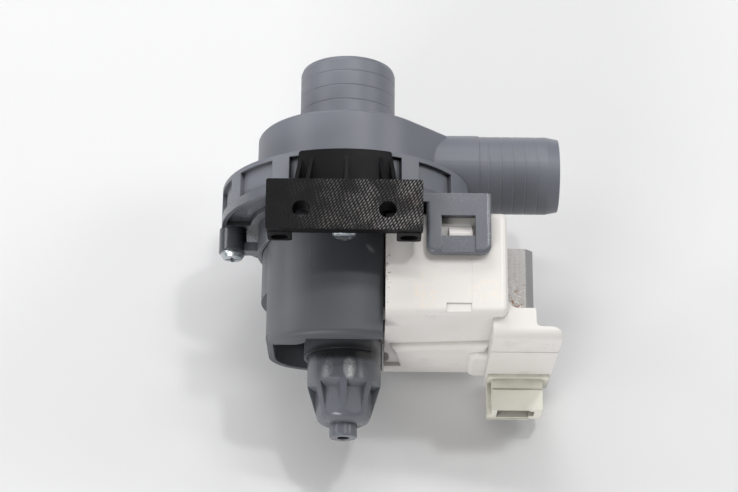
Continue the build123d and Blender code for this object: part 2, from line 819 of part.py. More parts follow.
def end_wall_opening():
    """What the motor cover's end wall leaves open round the can: low at the left, to the right edge."""
    left = cover_left_x - open_by
    right = cover_right_x + open_by
    low_cut = brick((left, right), (cover_low_depth, cover_depth + open_by), (-rim_r, end_wall_side_z))
    outline = make_face(Polyline(
        (left, 0), (left, end_wall_side_z), (end_wall_side_x, end_wall_side_z),
        (end_wall_side_x, end_wall_low_z), (right, end_wall_low_z), (right, 0), close=True,
    ))
    corner = outline.vertices().sort_by_distance(Vector(end_wall_side_x, end_wall_side_z, 0))[0]
    outline = fillet(corner, end_wall_corner_r)
    return low_cut + slab(outline, cover_depth - cover_wall, cover_depth + open_by)


def motor_cover():
    """Drum round the motor's poles, open to the right, with an end wall and a ring round the can."""
    shell = slab(cover_outline(0) & left_of(cover_right_x), plate_back, cover_depth)
    end_edges = shell.edges().group_by(Axis.Y)[0].filter_by(Axis.Z, reverse=True)
    shell = fillet(end_edges, cover_round)
    shell += slab(Circle(drum_r) & left_of(cover_right_x), plate_back, drum_depth)
    inside = cover_outline(cover_wall)
    web_back = web_depth + web_thickness
    shell -= slab(inside, plate_back - open_by, web_depth)
    shell -= slab(inside, web_back, cover_depth - cover_wall)
    below = Pos(0, web_low_z - rim_r) * Rectangle(2 * rim_r, 2 * rim_r)
    shell -= slab(inside & below, web_depth - open_by, web_back + open_by)
    shell -= end_wall_opening()
    shell -= slab(inside - left_of(ring_end_x), web_depth - open_by, cover_low_depth)
    bore_r = can_r + slot_gap
    ring = (Circle(bore_r + can_ring_wall) - Circle(bore_r)) & left_of(ring_end_x)
    shell += slab(ring, web_depth, cover_depth)
    shell -= drum(bore_r, plate_back - open_by, cover_depth + open_by)
    core_side = core_half_height + slot_gap
    wall_side = cover_half_height - cover_wall + sink
    for x in cover_rib_xs:
        width = (x - cover_rib_width / 2, x + cover_rib_width / 2)
        shell += brick(width, (core_depth, web_depth), (core_side, wall_side))
        shell += brick(width, (core_depth, web_depth), (-wall_side, -core_side))
    return shell


def coil_cover():
    """White over-moulded body round both coils, with its catch, shoulder and terminal block."""
    z = (-body_half_height, body_half_height)
    body = brick((body_left_x, body_right_x), (body_depth, body_end), z)
    left_edges = body.edges().group_by(Axis.X)[0]
    body = fillet(body.edges() - left_edges, body_round)
    body += lower_block()
    body += terminal_block()
    body += catch()
    top = body_half_height + open_by
    note_depths = (body_end - note_length, body_end + open_by)
    body -= brick((note_x, note_end_x), note_depths, (z[1] - note_sink, top))
    parting_x = (note_end_x, note_end_x + parting_width)
    body -= brick(parting_x, (loop_end, body_end + open_by), (z[1] - parting_sink, top))
    body -= coil_room()
    return body - blade_slots(block_end - blade_root - slot_gap / 2, block_end + open_by)


def coil_room():
    """Space in the coil cover for both coils, the core's legs and its yoke."""
    coil_z, coil_depth = leg_limits(slot_gap + bobbin_wall)
    room_z = coil_z[1] + winding_height + slot_gap
    room_depth = (coil_depth[0] - winding_side - slot_gap, coil_depth[1] + winding_side + slot_gap)
    room = brick((body_left_x - open_by, coil_end_x + slot_gap), room_depth, (-room_z, room_z))
    leg_z, leg_depth = leg_limits(slot_gap)
    for low, high in (leg_z, (-leg_z[1], -leg_z[0])):
        room += brick((coil_end_x - open_by, body_right_x + open_by), leg_depth, (low, high))
    yoke_x = (yoke_inner_x - slot_gap, block_right_x + open_by)
    return room + brick(yoke_x, leg_depth, (-leg_z[1], leg_z[1]))


def lower_block():
    """Low step of the end face under the windings' leads, slanted at its left, with the foot below it."""
    left = lower_block_left_x
    right = block_left_x + sink
    start = body_end - body_round
    outline = Polyline(
        (left, lower_block_left_z), (left + lower_block_slant, lower_block_low_z),
        (right, lower_block_low_z), (right, lower_block_top_z), close=True,
    )
    block = slab(make_face(outline), start, lower_block_end)
    block = fillet(block.edges().group_by(Axis.Y)[0], lower_block_round)
    foot = brick((body_left_x, right), (start, foot_end), (-body_half_height, lower_block_low_z))
    low_front = foot.edges().filter_by(Axis.X).group_by(Axis.Y)[0].sort_by(Axis.Z)[0]
    return block + fillet(low_front, body_round / 2)


def lead_boss():
    """Round lump on the end face beside the terminal block, over the windings' leads."""
    x = (lead_boss_x, block_left_x + lead_boss_r)
    outline = rounded_rect(x, (lead_boss_low_z, lead_boss_top_z), lead_boss_r)
    lump = slab(outline, body_end - body_round, lead_boss_end)
    return fillet(lump.edges().group_by(Axis.Y)[0], lead_boss_edge_r)


def terminal_block():
    """Block at the lower right that carries the connector, and the shoulder behind the yoke."""
    start = body_end - body_round
    inside = body_right_x - sink
    shoulder_depth = core_back + shoulder_gap
    shoulder_x = yoke_outer_x + shoulder_margin
    lap = shoulder_depth - 2 * shoulder_r
    face = make_face(Polyline(
        (block_left_x, -start), (block_left_x, -block_end), (block_right_x, -block_end),
        (block_right_x, -block_depth), (shoulder_x, -block_depth), (shoulder_x, -shoulder_depth),
        (body_right_x, -shoulder_depth), (body_right_x, -lap), (inside, -lap), (inside, -start), close=True,
    ))
    round_corners = (
        (block_right_x, block_depth, block_corner_r),
        (shoulder_x, block_depth, shoulder_r / 2),
        (body_right_x, shoulder_depth, shoulder_r),
        (shoulder_x, shoulder_depth, small_round),
    )
    for x, depth, radius in round_corners:
        corner = face.vertices().sort_by_distance((x, -depth, 0))[0]
        face = fillet(corner, radius)
    block = extrude(Plane.XY.offset(block_low_z) * face, amount=block_top_z - block_low_z)
    low_front = block.edges().filter_by(Axis.X).group_by(Axis.Y)[0].sort_by(Axis.Z)[0]
    block = fillet(low_front, small_round)
    ledge_x = (block_left_x - open_by, block_right_x + open_by)
    block -= brick(ledge_x, (block_end - ledge_step, block_end + open_by), (ledge_z, block_top_z + open_by))
    top_edges = block.edges().group_by(Axis.Z)[-1]
    top_front = top_edges.filter_by(Axis.X).sort_by(Axis.Y)[0]
    block = fillet(top_front, block_edge_r) + lead_boss()
    root_x = (socket_left_x - rail_width - root_margin, socket_collar_right_x + root_margin)
    return block + brick(root_x, (body_end, block_end), (socket_low_z - root_margin, block_low_z + sink))


def catch():
    """Ramped catch that the latch loop snaps over."""
    low = body_half_height - sink
    high = body_half_height + catch_height
    end = loop_end - loop_bar - slot_gap
    profile = Polyline(
        (-catch_depth, low), (-catch_depth, low + catch_start_height), (-end + catch_flat, high),
        (-end, high), (-end, low), close=True,
    )
    return extrude(Plane.YZ.offset(catch_x) * make_face(profile), amount=catch_end_x - catch_x)


def blade_xs():
    """X of each blade, about the middle of the connector's mouth."""
    middle = (mouth_left_x + mouth_right_x) / 2
    return middle - blade_pitch / 2, middle + blade_pitch / 2


def blade_bars(start, end, grow):
    """One flat bar for each blade between two depths, grown all round."""
    middle = (mouth_low_z + mouth_top_z) / 2
    half_width = blade_width / 2 + grow
    half_plate = blade_plate / 2 + grow
    z = (middle - half_plate, middle + half_plate)
    return [brick((x - half_width, x + half_width), (start, end), z) for x in blade_xs()]


def blade_slots(start, end):
    """Slots that the blades are pressed into, between two depths."""
    left, right = blade_bars(start, end, slot_gap / 2)
    return left + right


def connector_housing():
    """Cream socket with its collar, a side rail and a keyed mouth that opens away from the chamber."""
    end = block_end + socket_length
    rail_x = socket_left_x - rail_width
    body = brick((socket_left_x, socket_right_x), (block_end, end), (socket_low_z, socket_top_z))
    body += brick((rail_x, socket_collar_right_x), (block_end, block_end + socket_collar),
                  (socket_low_z, socket_top_z + socket_collar_rise))
    body += brick((rail_x, socket_left_x + sink), (block_end, end),
                  (socket_low_z, socket_low_z + rail_height))
    body += brick((rail_x, mouth_right_x), (end - sink, end + lip_reach),
                  (socket_low_z, socket_low_z + mouth_low_wall / 2))
    groove = (block_end + socket_collar, block_end + socket_collar + groove_width)
    body -= brick((socket_left_x - open_by, socket_right_x + open_by), groove,
                  (socket_top_z - groove_sink, socket_top_z + socket_collar_rise + open_by))
    mouth = (end - mouth_length, end + open_by)
    body -= brick((mouth_left_x, mouth_right_x), mouth, (mouth_low_z, mouth_top_z))
    body -= brick((mouth_right_x - sink, mouth_right_x + key_depth), mouth,
                  (mouth_low_z + key_inset, mouth_top_z - key_inset))
    return body - blade_slots(block_end - open_by, end)


def terminals():
    """Brass blades in the connector's mouth, each with a bevelled end."""
    end = block_end + socket_length - blade_setback
    blades = []
    for plate in blade_bars(block_end - blade_root, end, 0):
        tip = plate.edges().group_by(Axis.Y)[0].filter_by(Axis.Z)
        blades.append(chamfer(tip, bevel))
    return Compound(children=blades)


def saddle():
    """Curved foot of the bracket over the rim, wider towards the plate, with its stiffening ribs."""
    inner = rim_r + slot_gap
    outer = inner + saddle_thickness
    wide = saddle_half_width + saddle_flare
    footprint = make_face(Polyline(
        (-saddle_half_width, -saddle_depth), (-wide, -bracket_start), (-wide, -boss_depth),
        (wide, -boss_depth), (wide, -bracket_start), (saddle_half_width, -saddle_depth), close=True,
    ))
    footprint = fillet(footprint.vertices().group_by(Axis.Y)[-1], small_round)
    arc = slab(Circle(outer) - Circle(inner), saddle_depth, boss_depth)
    arc &= extrude(footprint, amount=bracket_top_z)
    top_z = bracket_top_z - slot_gap
    back = bracket_start + open_by
    for x, lean in saddle_ribs:
        foot_z = sqrt(outer ** 2 - x ** 2)
        low = sqrt(inner ** 2 - x ** 2) + sink - foot_z
        high = top_z - foot_z
        rib = make_face(Polyline(
            (-saddle_rib_depth, low), (-saddle_rib_depth, 0), (-bracket_start, high), (-back, high),
            (-back, low), close=True,
        ))
        rib = extrude(Plane.YZ.offset(-saddle_rib_width / 2) * rib, amount=saddle_rib_width)
        arc += Pos(x, 0, foot_z) * Rot(Y=lean) * rib
    return arc - slab(bolt_centre(bracket_screw_angle) * Circle(boss_r + slot_gap), saddle_depth, boss_depth)


def mounting_bracket():
    """Black bracket: drilled plate, saddle, two lugs with blind slots and the web under the top screw."""
    width = (-bracket_half_width, bracket_half_width)
    plate = brick(width, (bracket_start, bracket_end), (bracket_low_z, bracket_top_z))
    body = fillet(plate.edges().filter_by(Axis.Z), small_round) + saddle()
    seat = bolt_centre(bracket_screw_angle)
    web_x = (-bracket_web_half_width, bracket_web_half_width)
    web = rounded_rect(web_x, (bolt_circle_r + sink, bracket_low_z + bracket_plate / 2), lug_round)
    body += slab(web + seat * Circle(boss_r), boss_depth, bracket_screw_seat)
    end = bracket_end + lug_reach
    for side in (-1, 1):
        middle = side * lug_x
        lug = rounded_rect((middle - lug_width / 2, middle + lug_width / 2),
                           (bracket_low_z - lug_height, bracket_low_z + lug_round), lug_round)
        body += slab(lug, lug_back, end)
        slot = Pos(middle, bracket_low_z - lug_height / 2) * SlotOverall(lug_slot_width, lug_slot_height)
        body -= slab(slot, end - lug_slot_length, end + open_by)
        fixing = Pos(side * fixing_pitch / 2, -fixing_depth, fixing_low_z)
        sleeve_length = bracket_top_z - fixing_low_z
        middle = Pos(0, 0, sleeve_length / 2)
        body += fixing * middle * Cylinder(fixing_r + fixing_wall, sleeve_length)
        body -= fixing * middle * Cylinder(fixing_r, sleeve_length + 2 * open_by)
    shank_hole = seat * Circle(screw_r + thread_gap)
    return body - slab(shank_hole, boss_depth - open_by, bracket_screw_seat + open_by)


def screw(angle, seat):
    """Pan-head screw with a cross recess, from its seat to its tip in the volute cover."""
    head_end = seat + screw_head_height
    body = turned([
        (0, screw_tip), (screw_r - screw_point, screw_tip), (screw_r, screw_tip + screw_point),
        (screw_r, seat), (screw_head_r, seat), (screw_head_r, seat + screw_head_edge),
        (screw_head_r - screw_head_slope, head_end - bevel),
        (screw_head_r - screw_head_flat, head_end), (0, head_end),
    ])
    for turn in (0, 90):
        slot = Rot(Z=turn) * Rectangle(recess_length, recess_width)
        body -= slab(slot, head_end - recess_depth, head_end + open_by)
    place = bolt_centre(angle).position
    return Pos(place.X, 0, place.Y) * body


def flange_screws():
    """Four screws that clamp the rotor housing to the volute cover."""
    return Compound(children=[screw(angle, seat) for angle, seat in flange_screw_seats.items()])


save("volute_cover", volute_cover())
save("chamber_seal", chamber_seal())
save("rotor_housing", rotor_housing())
save("bearing_carrier", bearing_carrier())
save("carrier_seal", carrier_seal())
save("front_bearing", bearing(front_seat_depth + mount_lip))
save("front_bearing_mount", bearing_mount(front_seat_depth, True))
save("rear_bearing", bearing(rear_seat_depth))
save("rear_bearing_mount", bearing_mount(rear_seat_depth, False))
save("rotor_shaft", rotor_shaft())
save("rotor_magnet", rotor_magnet())
save("magnet_sleeve", magnet_sleeve())
save("front_thrust_washer", thrust_washer(front_seat_depth + mount_lip + bearing_length + end_play))
save("rear_thrust_washer", thrust_washer(rear_seat_depth - end_play - washer_thickness))
save("drive_dog", drive_dog())
save("impeller", impeller())
save("impeller_cap", impeller_cap())
save("stator_core", stator_core())
save("upper_bobbin", coil_bobbin(1))
save("lower_bobbin", coil_bobbin(-1))
save("upper_winding", coil_winding(1))
save("lower_winding", coil_winding(-1))
save("motor_cover", motor_cover())
save("coil_cover", coil_cover())
save("connector_housing", connector_housing())
save("terminals", terminals())
save("mounting_bracket", mounting_bracket())
save("flange_screws", flange_screws())
save("bracket_screw", screw(bracket_screw_angle, bracket_screw_seat))
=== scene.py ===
"""Looks of a dishwasher's drain pump: its finishes, the light round it, and its table."""

import logging
from dataclasses import dataclass, field
from enum import Enum
from math import cos, pi, radians, sin
from typing import Mapping, Sequence, Union

import bmesh
import bpy
from mathutils import Matrix, Vector

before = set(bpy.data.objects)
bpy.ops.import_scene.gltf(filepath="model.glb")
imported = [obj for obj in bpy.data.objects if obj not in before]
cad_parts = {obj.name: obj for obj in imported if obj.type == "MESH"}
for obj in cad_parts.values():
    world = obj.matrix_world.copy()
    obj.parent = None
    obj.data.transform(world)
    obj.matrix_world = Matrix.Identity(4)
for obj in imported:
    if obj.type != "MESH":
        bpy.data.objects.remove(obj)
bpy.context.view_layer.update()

log = logging.getLogger("drain_pump")

MM = 0.001
MM_PER_M = 1000.0
HALF = 0.5  # the middle between 0 and 1, where noise lies on average
TURN = 2 * pi

Color = tuple[float, float, float]
Triple = tuple[float, float, float]  # along X, Y and Z
Band = tuple[float, float]  # where a mask is 0, and where it is 1
Spread = tuple[float, float]  # a value where a mask is 0, and how much higher it is at 1
Value = Union["Wire", float, Color, Sequence[float]]


class Wire:
    """An output socket. Arithmetic on it adds Math nodes to its sheet."""

    def __init__(self, sheet: "ShaderSheet", socket: bpy.types.NodeSocket) -> None:
        """Keeps the sheet and the socket."""
        self.sheet = sheet
        self.socket = socket

    def math(self, operation: str, *values: Value) -> "Wire":
        """Adds one Math node.

        Args:
            operation: the node's operation.
            values: what goes into its sockets, in order.

        Returns:
            The node's result.
        """
        settings = {"operation": operation}
        return self.sheet.node("ShaderNodeMath", settings, dict(enumerate(values)))

    def __add__(self, other: Value) -> "Wire":
        """This plus other."""
        return self.math("ADD", self, other)

    def __radd__(self, other: Value) -> "Wire":
        """Other plus this."""
        return self.math("ADD", other, self)

    def __sub__(self, other: Value) -> "Wire":
        """This less other."""
        return self.math("SUBTRACT", self, other)

    def __rsub__(self, other: Value) -> "Wire":
        """Other less this."""
        return self.math("SUBTRACT", other, self)

    def __mul__(self, other: Value) -> "Wire":
        """This times other."""
        return self.math("MULTIPLY", self, other)

    def __rmul__(self, other: Value) -> "Wire":
        """Other times this."""
        return self.math("MULTIPLY", other, self)

    def __truediv__(self, other: Value) -> "Wire":
        """This over other."""
        return self.math("DIVIDE", self, other)

    def __rtruediv__(self, other: Value) -> "Wire":
        """Other over this."""
        return self.math("DIVIDE", other, self)

    def at_least(self, other: Value) -> "Wire":
        """The higher of this and other."""
        return self.math("MAXIMUM", self, other)

    def sine(self) -> "Wire":
        """The sine of this, in radians."""
        return self.math("SINE", self)

    def cosine(self) -> "Wire":
        """The cosine of this, in radians."""
        return self.math("COSINE", self)

    def swing(self, width: float) -> "Wire":
        """Noise brought to an average of 0.

        Args:
            width: how far it would go from one end to the other.

        Returns:
            What can be added to a value.
        """
        return (self - HALF) * width

    def spread(self, base: float, width: float) -> "Wire":
        """A value that follows this.

        Args:
            base: the value where this is 0.
            width: how much higher it is where this is 1.

        Returns:
            The value.
        """
        return base + self * width

    def above(self, floor: float) -> "Wire":
        """A mask that never falls below a floor.

        Args:
            floor: its lowest value.

        Returns:
            The floor where this is 0, and 1 where this is 1.
        """
        return self.spread(floor, 1 - floor)

    def rise(self, low: float, high: float) -> "Wire":
        """Goes smoothly from 0 to 1 as this goes from low to high.

        Args:
            low: where the result is 0.
            high: where the result is 1. It may be the lower number.

        Returns:
            The smooth step.
        """
        settings = {"interpolation_type": "SMOOTHSTEP"}
        inputs = {"Value": self, "From Min": low, "From Max": high}
        return self.sheet.node("ShaderNodeMapRange", settings, inputs)


class ShaderSheet:
    """The nodes of one material, or of the sky."""

    RAYS = 6  # for each bevel and hollow
    EDGE_BAND: Band = (0.995, 0.86)  # cosine between the rounded direction and the true one
    FALL_OFF: Band = (1.0, 0.3)  # squared distance from an ellipsoid's middle, 1 on its surface
    SEED_STEP: Triple = (0.37, 0.61, 0.83)  # metres that a seed of 1 moves a pattern
    MIX_SOCKETS = (0, 6, 7)  # the share and the two colours of a Mix node
    MIX_RESULT = 2  # its mixed colour

    def __init__(self, owner: bpy.types.Material | bpy.types.World) -> None:
        """Starts with no node.

        Args:
            owner: what the nodes belong to.
        """
        self.owner = owner
        owner.use_nodes = True
        self.tree = owner.node_tree
        self.tree.nodes.clear()
        self.cache: dict[str, Wire] = {}

    def node(
        self,
        kind: str,
        settings: Mapping[str, object] | None = None,
        inputs: Mapping[int | str, Value] | None = None,
        output: int | str = 0,
    ) -> Wire:
        """Adds one node.

        Args:
            kind: the node's type.
            settings: the node's own settings, set first.
            inputs: a number, colour or wire for each socket, by name or number.
            output: the socket to hand back.

        Returns:
            The chosen output.
        """
        made = self.tree.nodes.new(kind)
        for key, value in (settings or {}).items():
            setattr(made, key, value)
        for key, value in (inputs or {}).items():
            socket = made.inputs[key]
            if isinstance(value, Wire):
                self.tree.links.new(value.socket, socket)
            elif socket.type == "RGBA":
                socket.default_value = (*value, 1.0)
            else:
                socket.default_value = value
        return Wire(self, made.outputs[output]) if made.outputs else Wire(self, None)

    def place(self) -> Wire:
        """The point on the part, in metres from the part's origin."""
        if "place" not in self.cache:
            self.cache["place"] = self.node("ShaderNodeTexCoord", output="Object")
        return self.cache["place"]

    def axis(self, letter: str) -> Wire:
        """One coordinate of the point on the part, in millimetres.

        Args:
            letter: X, Y or Z.

        Returns:
            The coordinate.
        """
        if letter not in self.cache:
            split = self.node("ShaderNodeSeparateXYZ", inputs={0: self.place()}, output=letter)
            self.cache[letter] = split * MM_PER_M
        return self.cache[letter]

    def facing_up(self) -> Wire:
        """1 where the surface faces the bracket's side, 0 on walls and -1 below."""
        facing = self.node("ShaderNodeNewGeometry", output="Normal")
        return self.node("ShaderNodeSeparateXYZ", inputs={0: facing}, output="Z")

    def vector(
        self, operation: str, first: Value, second: Value, output: str = "Vector"
    ) -> Wire:
        """Adds one Vector Math node.

        Args:
            operation: the node's operation.
            first: its first vector.
            second: its second vector, or the number that SCALE takes.
            output: Vector, or Value for a dot product.

        Returns:
            The node's result.
        """
        socket = "Scale" if operation == "SCALE" else 1
        settings = {"operation": operation}
        return self.node("ShaderNodeVectorMath", settings, {0: first, socket: second}, output)

    def mix(self, share: Value, first: Value, second: Value) -> Wire:
        """Mixes two colours.

        Args:
            share: how much of the second colour shows.
            first: the first colour.
            second: the second colour.

        Returns:
            The mixed colour.
        """
        settings = {"data_type": "RGBA", "blend_type": "MIX"}
        inputs = dict(zip(self.MIX_SOCKETS, (share, first, second)))
        return self.node("ShaderNodeMix", settings, inputs, self.MIX_RESULT)

    def noise(self, pitch: float, detail: float, stretch: Triple, seed: float) -> Wire:
        """Soft noise over the part.

        Args:
            pitch: the size of its patches, in millimetres.
            detail: how many finer layers it has.
            stretch: how many times closer it lies along X, Y and Z.
            seed: moves the pattern to another place.

        Returns:
            The noise, about 0.5 on average.
        """
        shift = tuple(seed * step for step in self.SEED_STEP)
        moved = self.vector("MULTIPLY", self.vector("ADD", self.place(), shift), stretch)
        inputs = {"Vector": moved, "Scale": MM_PER_M / pitch, "Detail": detail}
        return self.node("ShaderNodeTexNoise", None, inputs)

    def cells(self, pitch: float, output: str) -> Wire:
        """Scattered cells over the part.

        Args:
            pitch: the size of a cell, in millimetres.
            output: Distance from a cell's middle, or the Color of each cell.

        Returns:
            The chosen output.
        """
        inputs = {"Vector": self.place(), "Scale": MM_PER_M / pitch, "Randomness": 1.0}
        return self.node("ShaderNodeTexVoronoi", {"feature": "F1"}, inputs, output)

    def soft_normal(self, radius: float) -> Wire:
        """The surface's direction with its sharp edges rounded.

        Args:
            radius: the radius of the rounding, in millimetres.

        Returns:
            The direction.
        """
        key = f"round {radius}"
        if key not in self.cache:
            settings = {"samples": self.RAYS}
            inputs = {"Radius": radius * MM}
            self.cache[key] = self.node("ShaderNodeBevel", settings, inputs, "Normal")
        return self.cache[key]

    def edge(self, radius: float) -> Wire:
        """1 on sharp edges, and 0 away from them.

        Args:
            radius: how far from an edge it reaches, in millimetres.

        Returns:
            The mask.
        """
        geometry = self.node("ShaderNodeNewGeometry", output="Normal")
        same = self.vector("DOT_PRODUCT", self.soft_normal(radius), geometry, "Value")
        return same.rise(*self.EDGE_BAND)

    def hollow(self, reach: float) -> Wire:
        """1 deep in corners and holes, and 0 in the open.

        Args:
            reach: how far away a wall still counts, in millimetres.

        Returns:
            The mask.
        """
        settings = {"samples": self.RAYS}
        inputs = {"Distance": reach * MM}
        return 1 - self.node("ShaderNodeAmbientOcclusion", settings, inputs, "AO")

    def near(self, center: Triple, radii: Triple) -> Wire:
        """1 round a point of the part, and 0 outside the ellipsoid round it.

        Args:
            center: the middle of the ellipsoid, in millimetres.
            radii: its half widths along X, Y and Z, in millimetres.

        Returns:
            The mask.
        """
        x, y, z = (
            (self.axis(letter) - middle) / radius
            for letter, middle, radius in zip("XYZ", center, radii)
        )
        return (x * x + y * y + z * z).rise(*self.FALL_OFF)

    def bumps(
        self, height: Wire, depth: float, under: Wire | None = None, strength: float = 1.0
    ) -> Wire:
        """Raises the surface by a height.

        Args:
            height: the height, from 0 to 1.
            depth: what 1 stands for, in millimetres.
            under: the direction that the bumps sit on, or the mesh's own.
            strength: how much they tell.

        Returns:
            The new direction.
        """
        inputs: dict[str, Value] = {
            "Height": height, "Distance": depth * MM, "Strength": strength,
        }
        if under is not None:
            inputs["Normal"] = under
        return self.node("ShaderNodeBump", None, inputs)

    def finish(
        self,
        color: Value,
        roughness: Value,
        normal: Wire,
        metallic: Value = 0.0,
        constants: Mapping[str, float] | None = None,
    ) -> bpy.types.Material:
        """Ends the sheet in its shader.

        Args:
            color: the base colour.
            roughness: the roughness.
            normal: the surface's direction.
            metallic: how much of it is bare metal.
            constants: the shader's other sockets, each one number.

        Returns:
            The finished material.
        """
        inputs = {
            "Base Color": color, "Roughness": roughness, "Normal": normal,
            "Metallic": metallic, **(constants or {}),
        }
        shader = self.node("ShaderNodeBsdfPrincipled", None, inputs)
        self.node("ShaderNodeOutputMaterial", None, {"Surface": shader})
        return self.owner


@dataclass(frozen=True)
class Layer:
    """One layer of soft noise, cut to a mask where it has a band."""

    pitch: float
    detail: float = 2
    seed: float = 0.0
    band: Band | None = None
    stretch: Triple = (1, 1, 1)

    def on(self, sheet: ShaderSheet, shift: float = 0.0) -> Wire:
        """Lays the layer on a material.

        Args:
            sheet: the material's sheet.
            shift: what is added to the seed.

        Returns:
            The mask, or without a band the noise, about 0.5 on average.
        """
        noise = sheet.noise(self.pitch, self.detail, self.stretch, self.seed + shift)
        return noise.rise(*self.band) if self.band else noise


@dataclass(frozen=True)
class Tint:
    """A colour that shows where a mask says so."""

    color: Color
    share: float

    def over(self, sheet: ShaderSheet, mask: Wire, under: Value) -> Wire:
        """Lays the tint over a colour.

        Args:
            sheet: the material's sheet.
            mask: where the tint lies.
            under: the colour so far.

        Returns:
            The colour with the tint.
        """
        return sheet.mix(mask * self.share, under, self.color)


@dataclass(frozen=True)
class Mark:
    """A scuff, stain, painted shade or painted light at one place of a piece, with no gaps unless
    its band gives some.
    """

    center: Triple
    radii: Triple
    tint: Tint
    pitch: float = 1.2
    band: Band = (0.0, 0.1)
    detail: float = 3

    def over(self, sheet: ShaderSheet, under: Wire) -> Wire:
        """Lays the mark over a colour.

        Args:
            sheet: the material's sheet.
            under: the colour so far.

        Returns:
            The colour with the mark.
        """
        patches = Layer(self.pitch, self.detail, self.center[0], self.band).on(sheet)
        return self.tint.over(sheet, sheet.near(self.center, self.radii) * patches, under)


@dataclass(frozen=True)
class Finish:
    """What every finish has: a name, a colour and a roughness."""

    name: str
    color: Color
    roughness: float

    def material(self) -> bpy.types.Material:
        """Builds the material."""
        raise NotImplementedError


@dataclass(frozen=True)
class MouldedPlastic(Finish):
    """Moulded plastic with flow clouds, fine grain, rubbed edges, dust, and painted shade in its
    deep hollows.
    """

    clouds: Layer = Layer(38, 3)
    patches: Layer = Layer(7, 4, 3)
    cloud: float = 0.10
    specks: Layer = Layer(0.5, 2, 5)
    speckle: float = 0.05
    wear: Layer = Layer(2.6, 4, 7, (0.42, 0.62))
    edge_radius: float = 0.35
    edge_tint: Tint = Tint((0.36, 0.37, 0.39), 0.35)
    dirt: Layer = Layer(4.0, 4, 9, (0.35, 0.7))
    corner_reach: float = 2.5
    dust: Tint = Tint((0.30, 0.29, 0.27), 0.15)
    dust_roughness: float = 0.2
    marks: tuple[Mark, ...] = ()
    # painted shade: hollows within this reach are painted darker, as if shade fell there
    painted_shade_reach: float = 13.0
    painted_shade_band: Band = (0.36, 0.70)
    painted_shade_share: float = 0.85
    grain: Layer = Layer(0.32, 2, 11)
    grain_depth: float = 0.012
    grain_roughness: float = 0.12
    wipes: Layer = Layer(16, 3, 13, stretch=(1, 0.4, 1))
    wipe_roughness: float = 0.16
    waves: Layer = Layer(9.0, 1, 15)
    wave_depth: float = 0.035
    seed: float = 0.0

    def tone(self, sheet: ShaderSheet) -> Wire:
        """How light the plastic is from place to place.

        Args:
            sheet: the material's sheet.

        Returns:
            A factor of about 1.
        """
        clouds = self.clouds.on(sheet, self.seed).swing(self.cloud)
        patches = self.patches.on(sheet, self.seed).swing(self.cloud * HALF)
        return 1 + clouds + patches + self.specks.on(sheet, self.seed).swing(self.speckle)

    def blotches(self, sheet: ShaderSheet, color: Wire) -> Wire:
        """Adds what only one kind of plastic has. The plain kind has nothing."""
        return color

    def material(self) -> bpy.types.Material:
        """Builds the material."""
        sheet = ShaderSheet(bpy.data.materials.new(self.name))
        color = sheet.vector("SCALE", self.color, self.tone(sheet))
        color = self.blotches(sheet, color)
        rubbed = sheet.edge(self.edge_radius) * self.wear.on(sheet, self.seed)
        color = self.edge_tint.over(sheet, rubbed, color)
        corner = sheet.hollow(self.corner_reach) * self.dirt.on(sheet, self.seed)
        color = self.dust.over(sheet, corner, color)
        for mark in self.marks:
            color = mark.over(sheet, color)
        # painted shade: deep hollows and the parts under other pieces are painted darker
        painted_shade = sheet.hollow(self.painted_shade_reach).rise(*self.painted_shade_band)
        color = sheet.vector("SCALE", color, 1 - painted_shade * self.painted_shade_share)
        grain = self.grain.on(sheet, self.seed)
        wipes = self.wipes.on(sheet, self.seed).swing(self.wipe_roughness)
        roughness = self.roughness + wipes + grain.swing(self.grain_roughness)
        roughness = roughness + corner * self.dust_roughness
        normal = sheet.bumps(grain, self.grain_depth, sheet.soft_normal(self.edge_radius))
        normal = sheet.bumps(self.waves.on(sheet, self.seed), self.wave_depth, normal)
        return sheet.finish(color, roughness, normal)


@dataclass(frozen=True)
class CoilPlastic(MouldedPlastic):
    """White plastic cast round the coils, with warm blotches and a few brown spots."""

    warmth: Layer = Layer(11, 4, 21, (0.45, 0.75))
    warm_tint: Tint = Tint((0.66, 0.58, 0.47), 0.10)
    left_band: Band = (15.5, 13.2)
    spots: Layer = Layer(1.3, 4, 23, (0.60, 0.68))
    spot_tint: Tint = Tint((0.20, 0.10, 0.05), 0.6)

    def blotches(self, sheet: ShaderSheet, color: Wire) -> Wire:
        """Adds warm blotches, and brown spots along the left edge.

        Args:
            sheet: the material's sheet.
            color: the colour so far.

        Returns:
            The colour with its blotches.
        """
        color = self.warm_tint.over(sheet, self.warmth.on(sheet), color)
        left = sheet.axis("X").rise(*self.left_band)
        return self.spot_tint.over(sheet, left * self.spots.on(sheet), color)


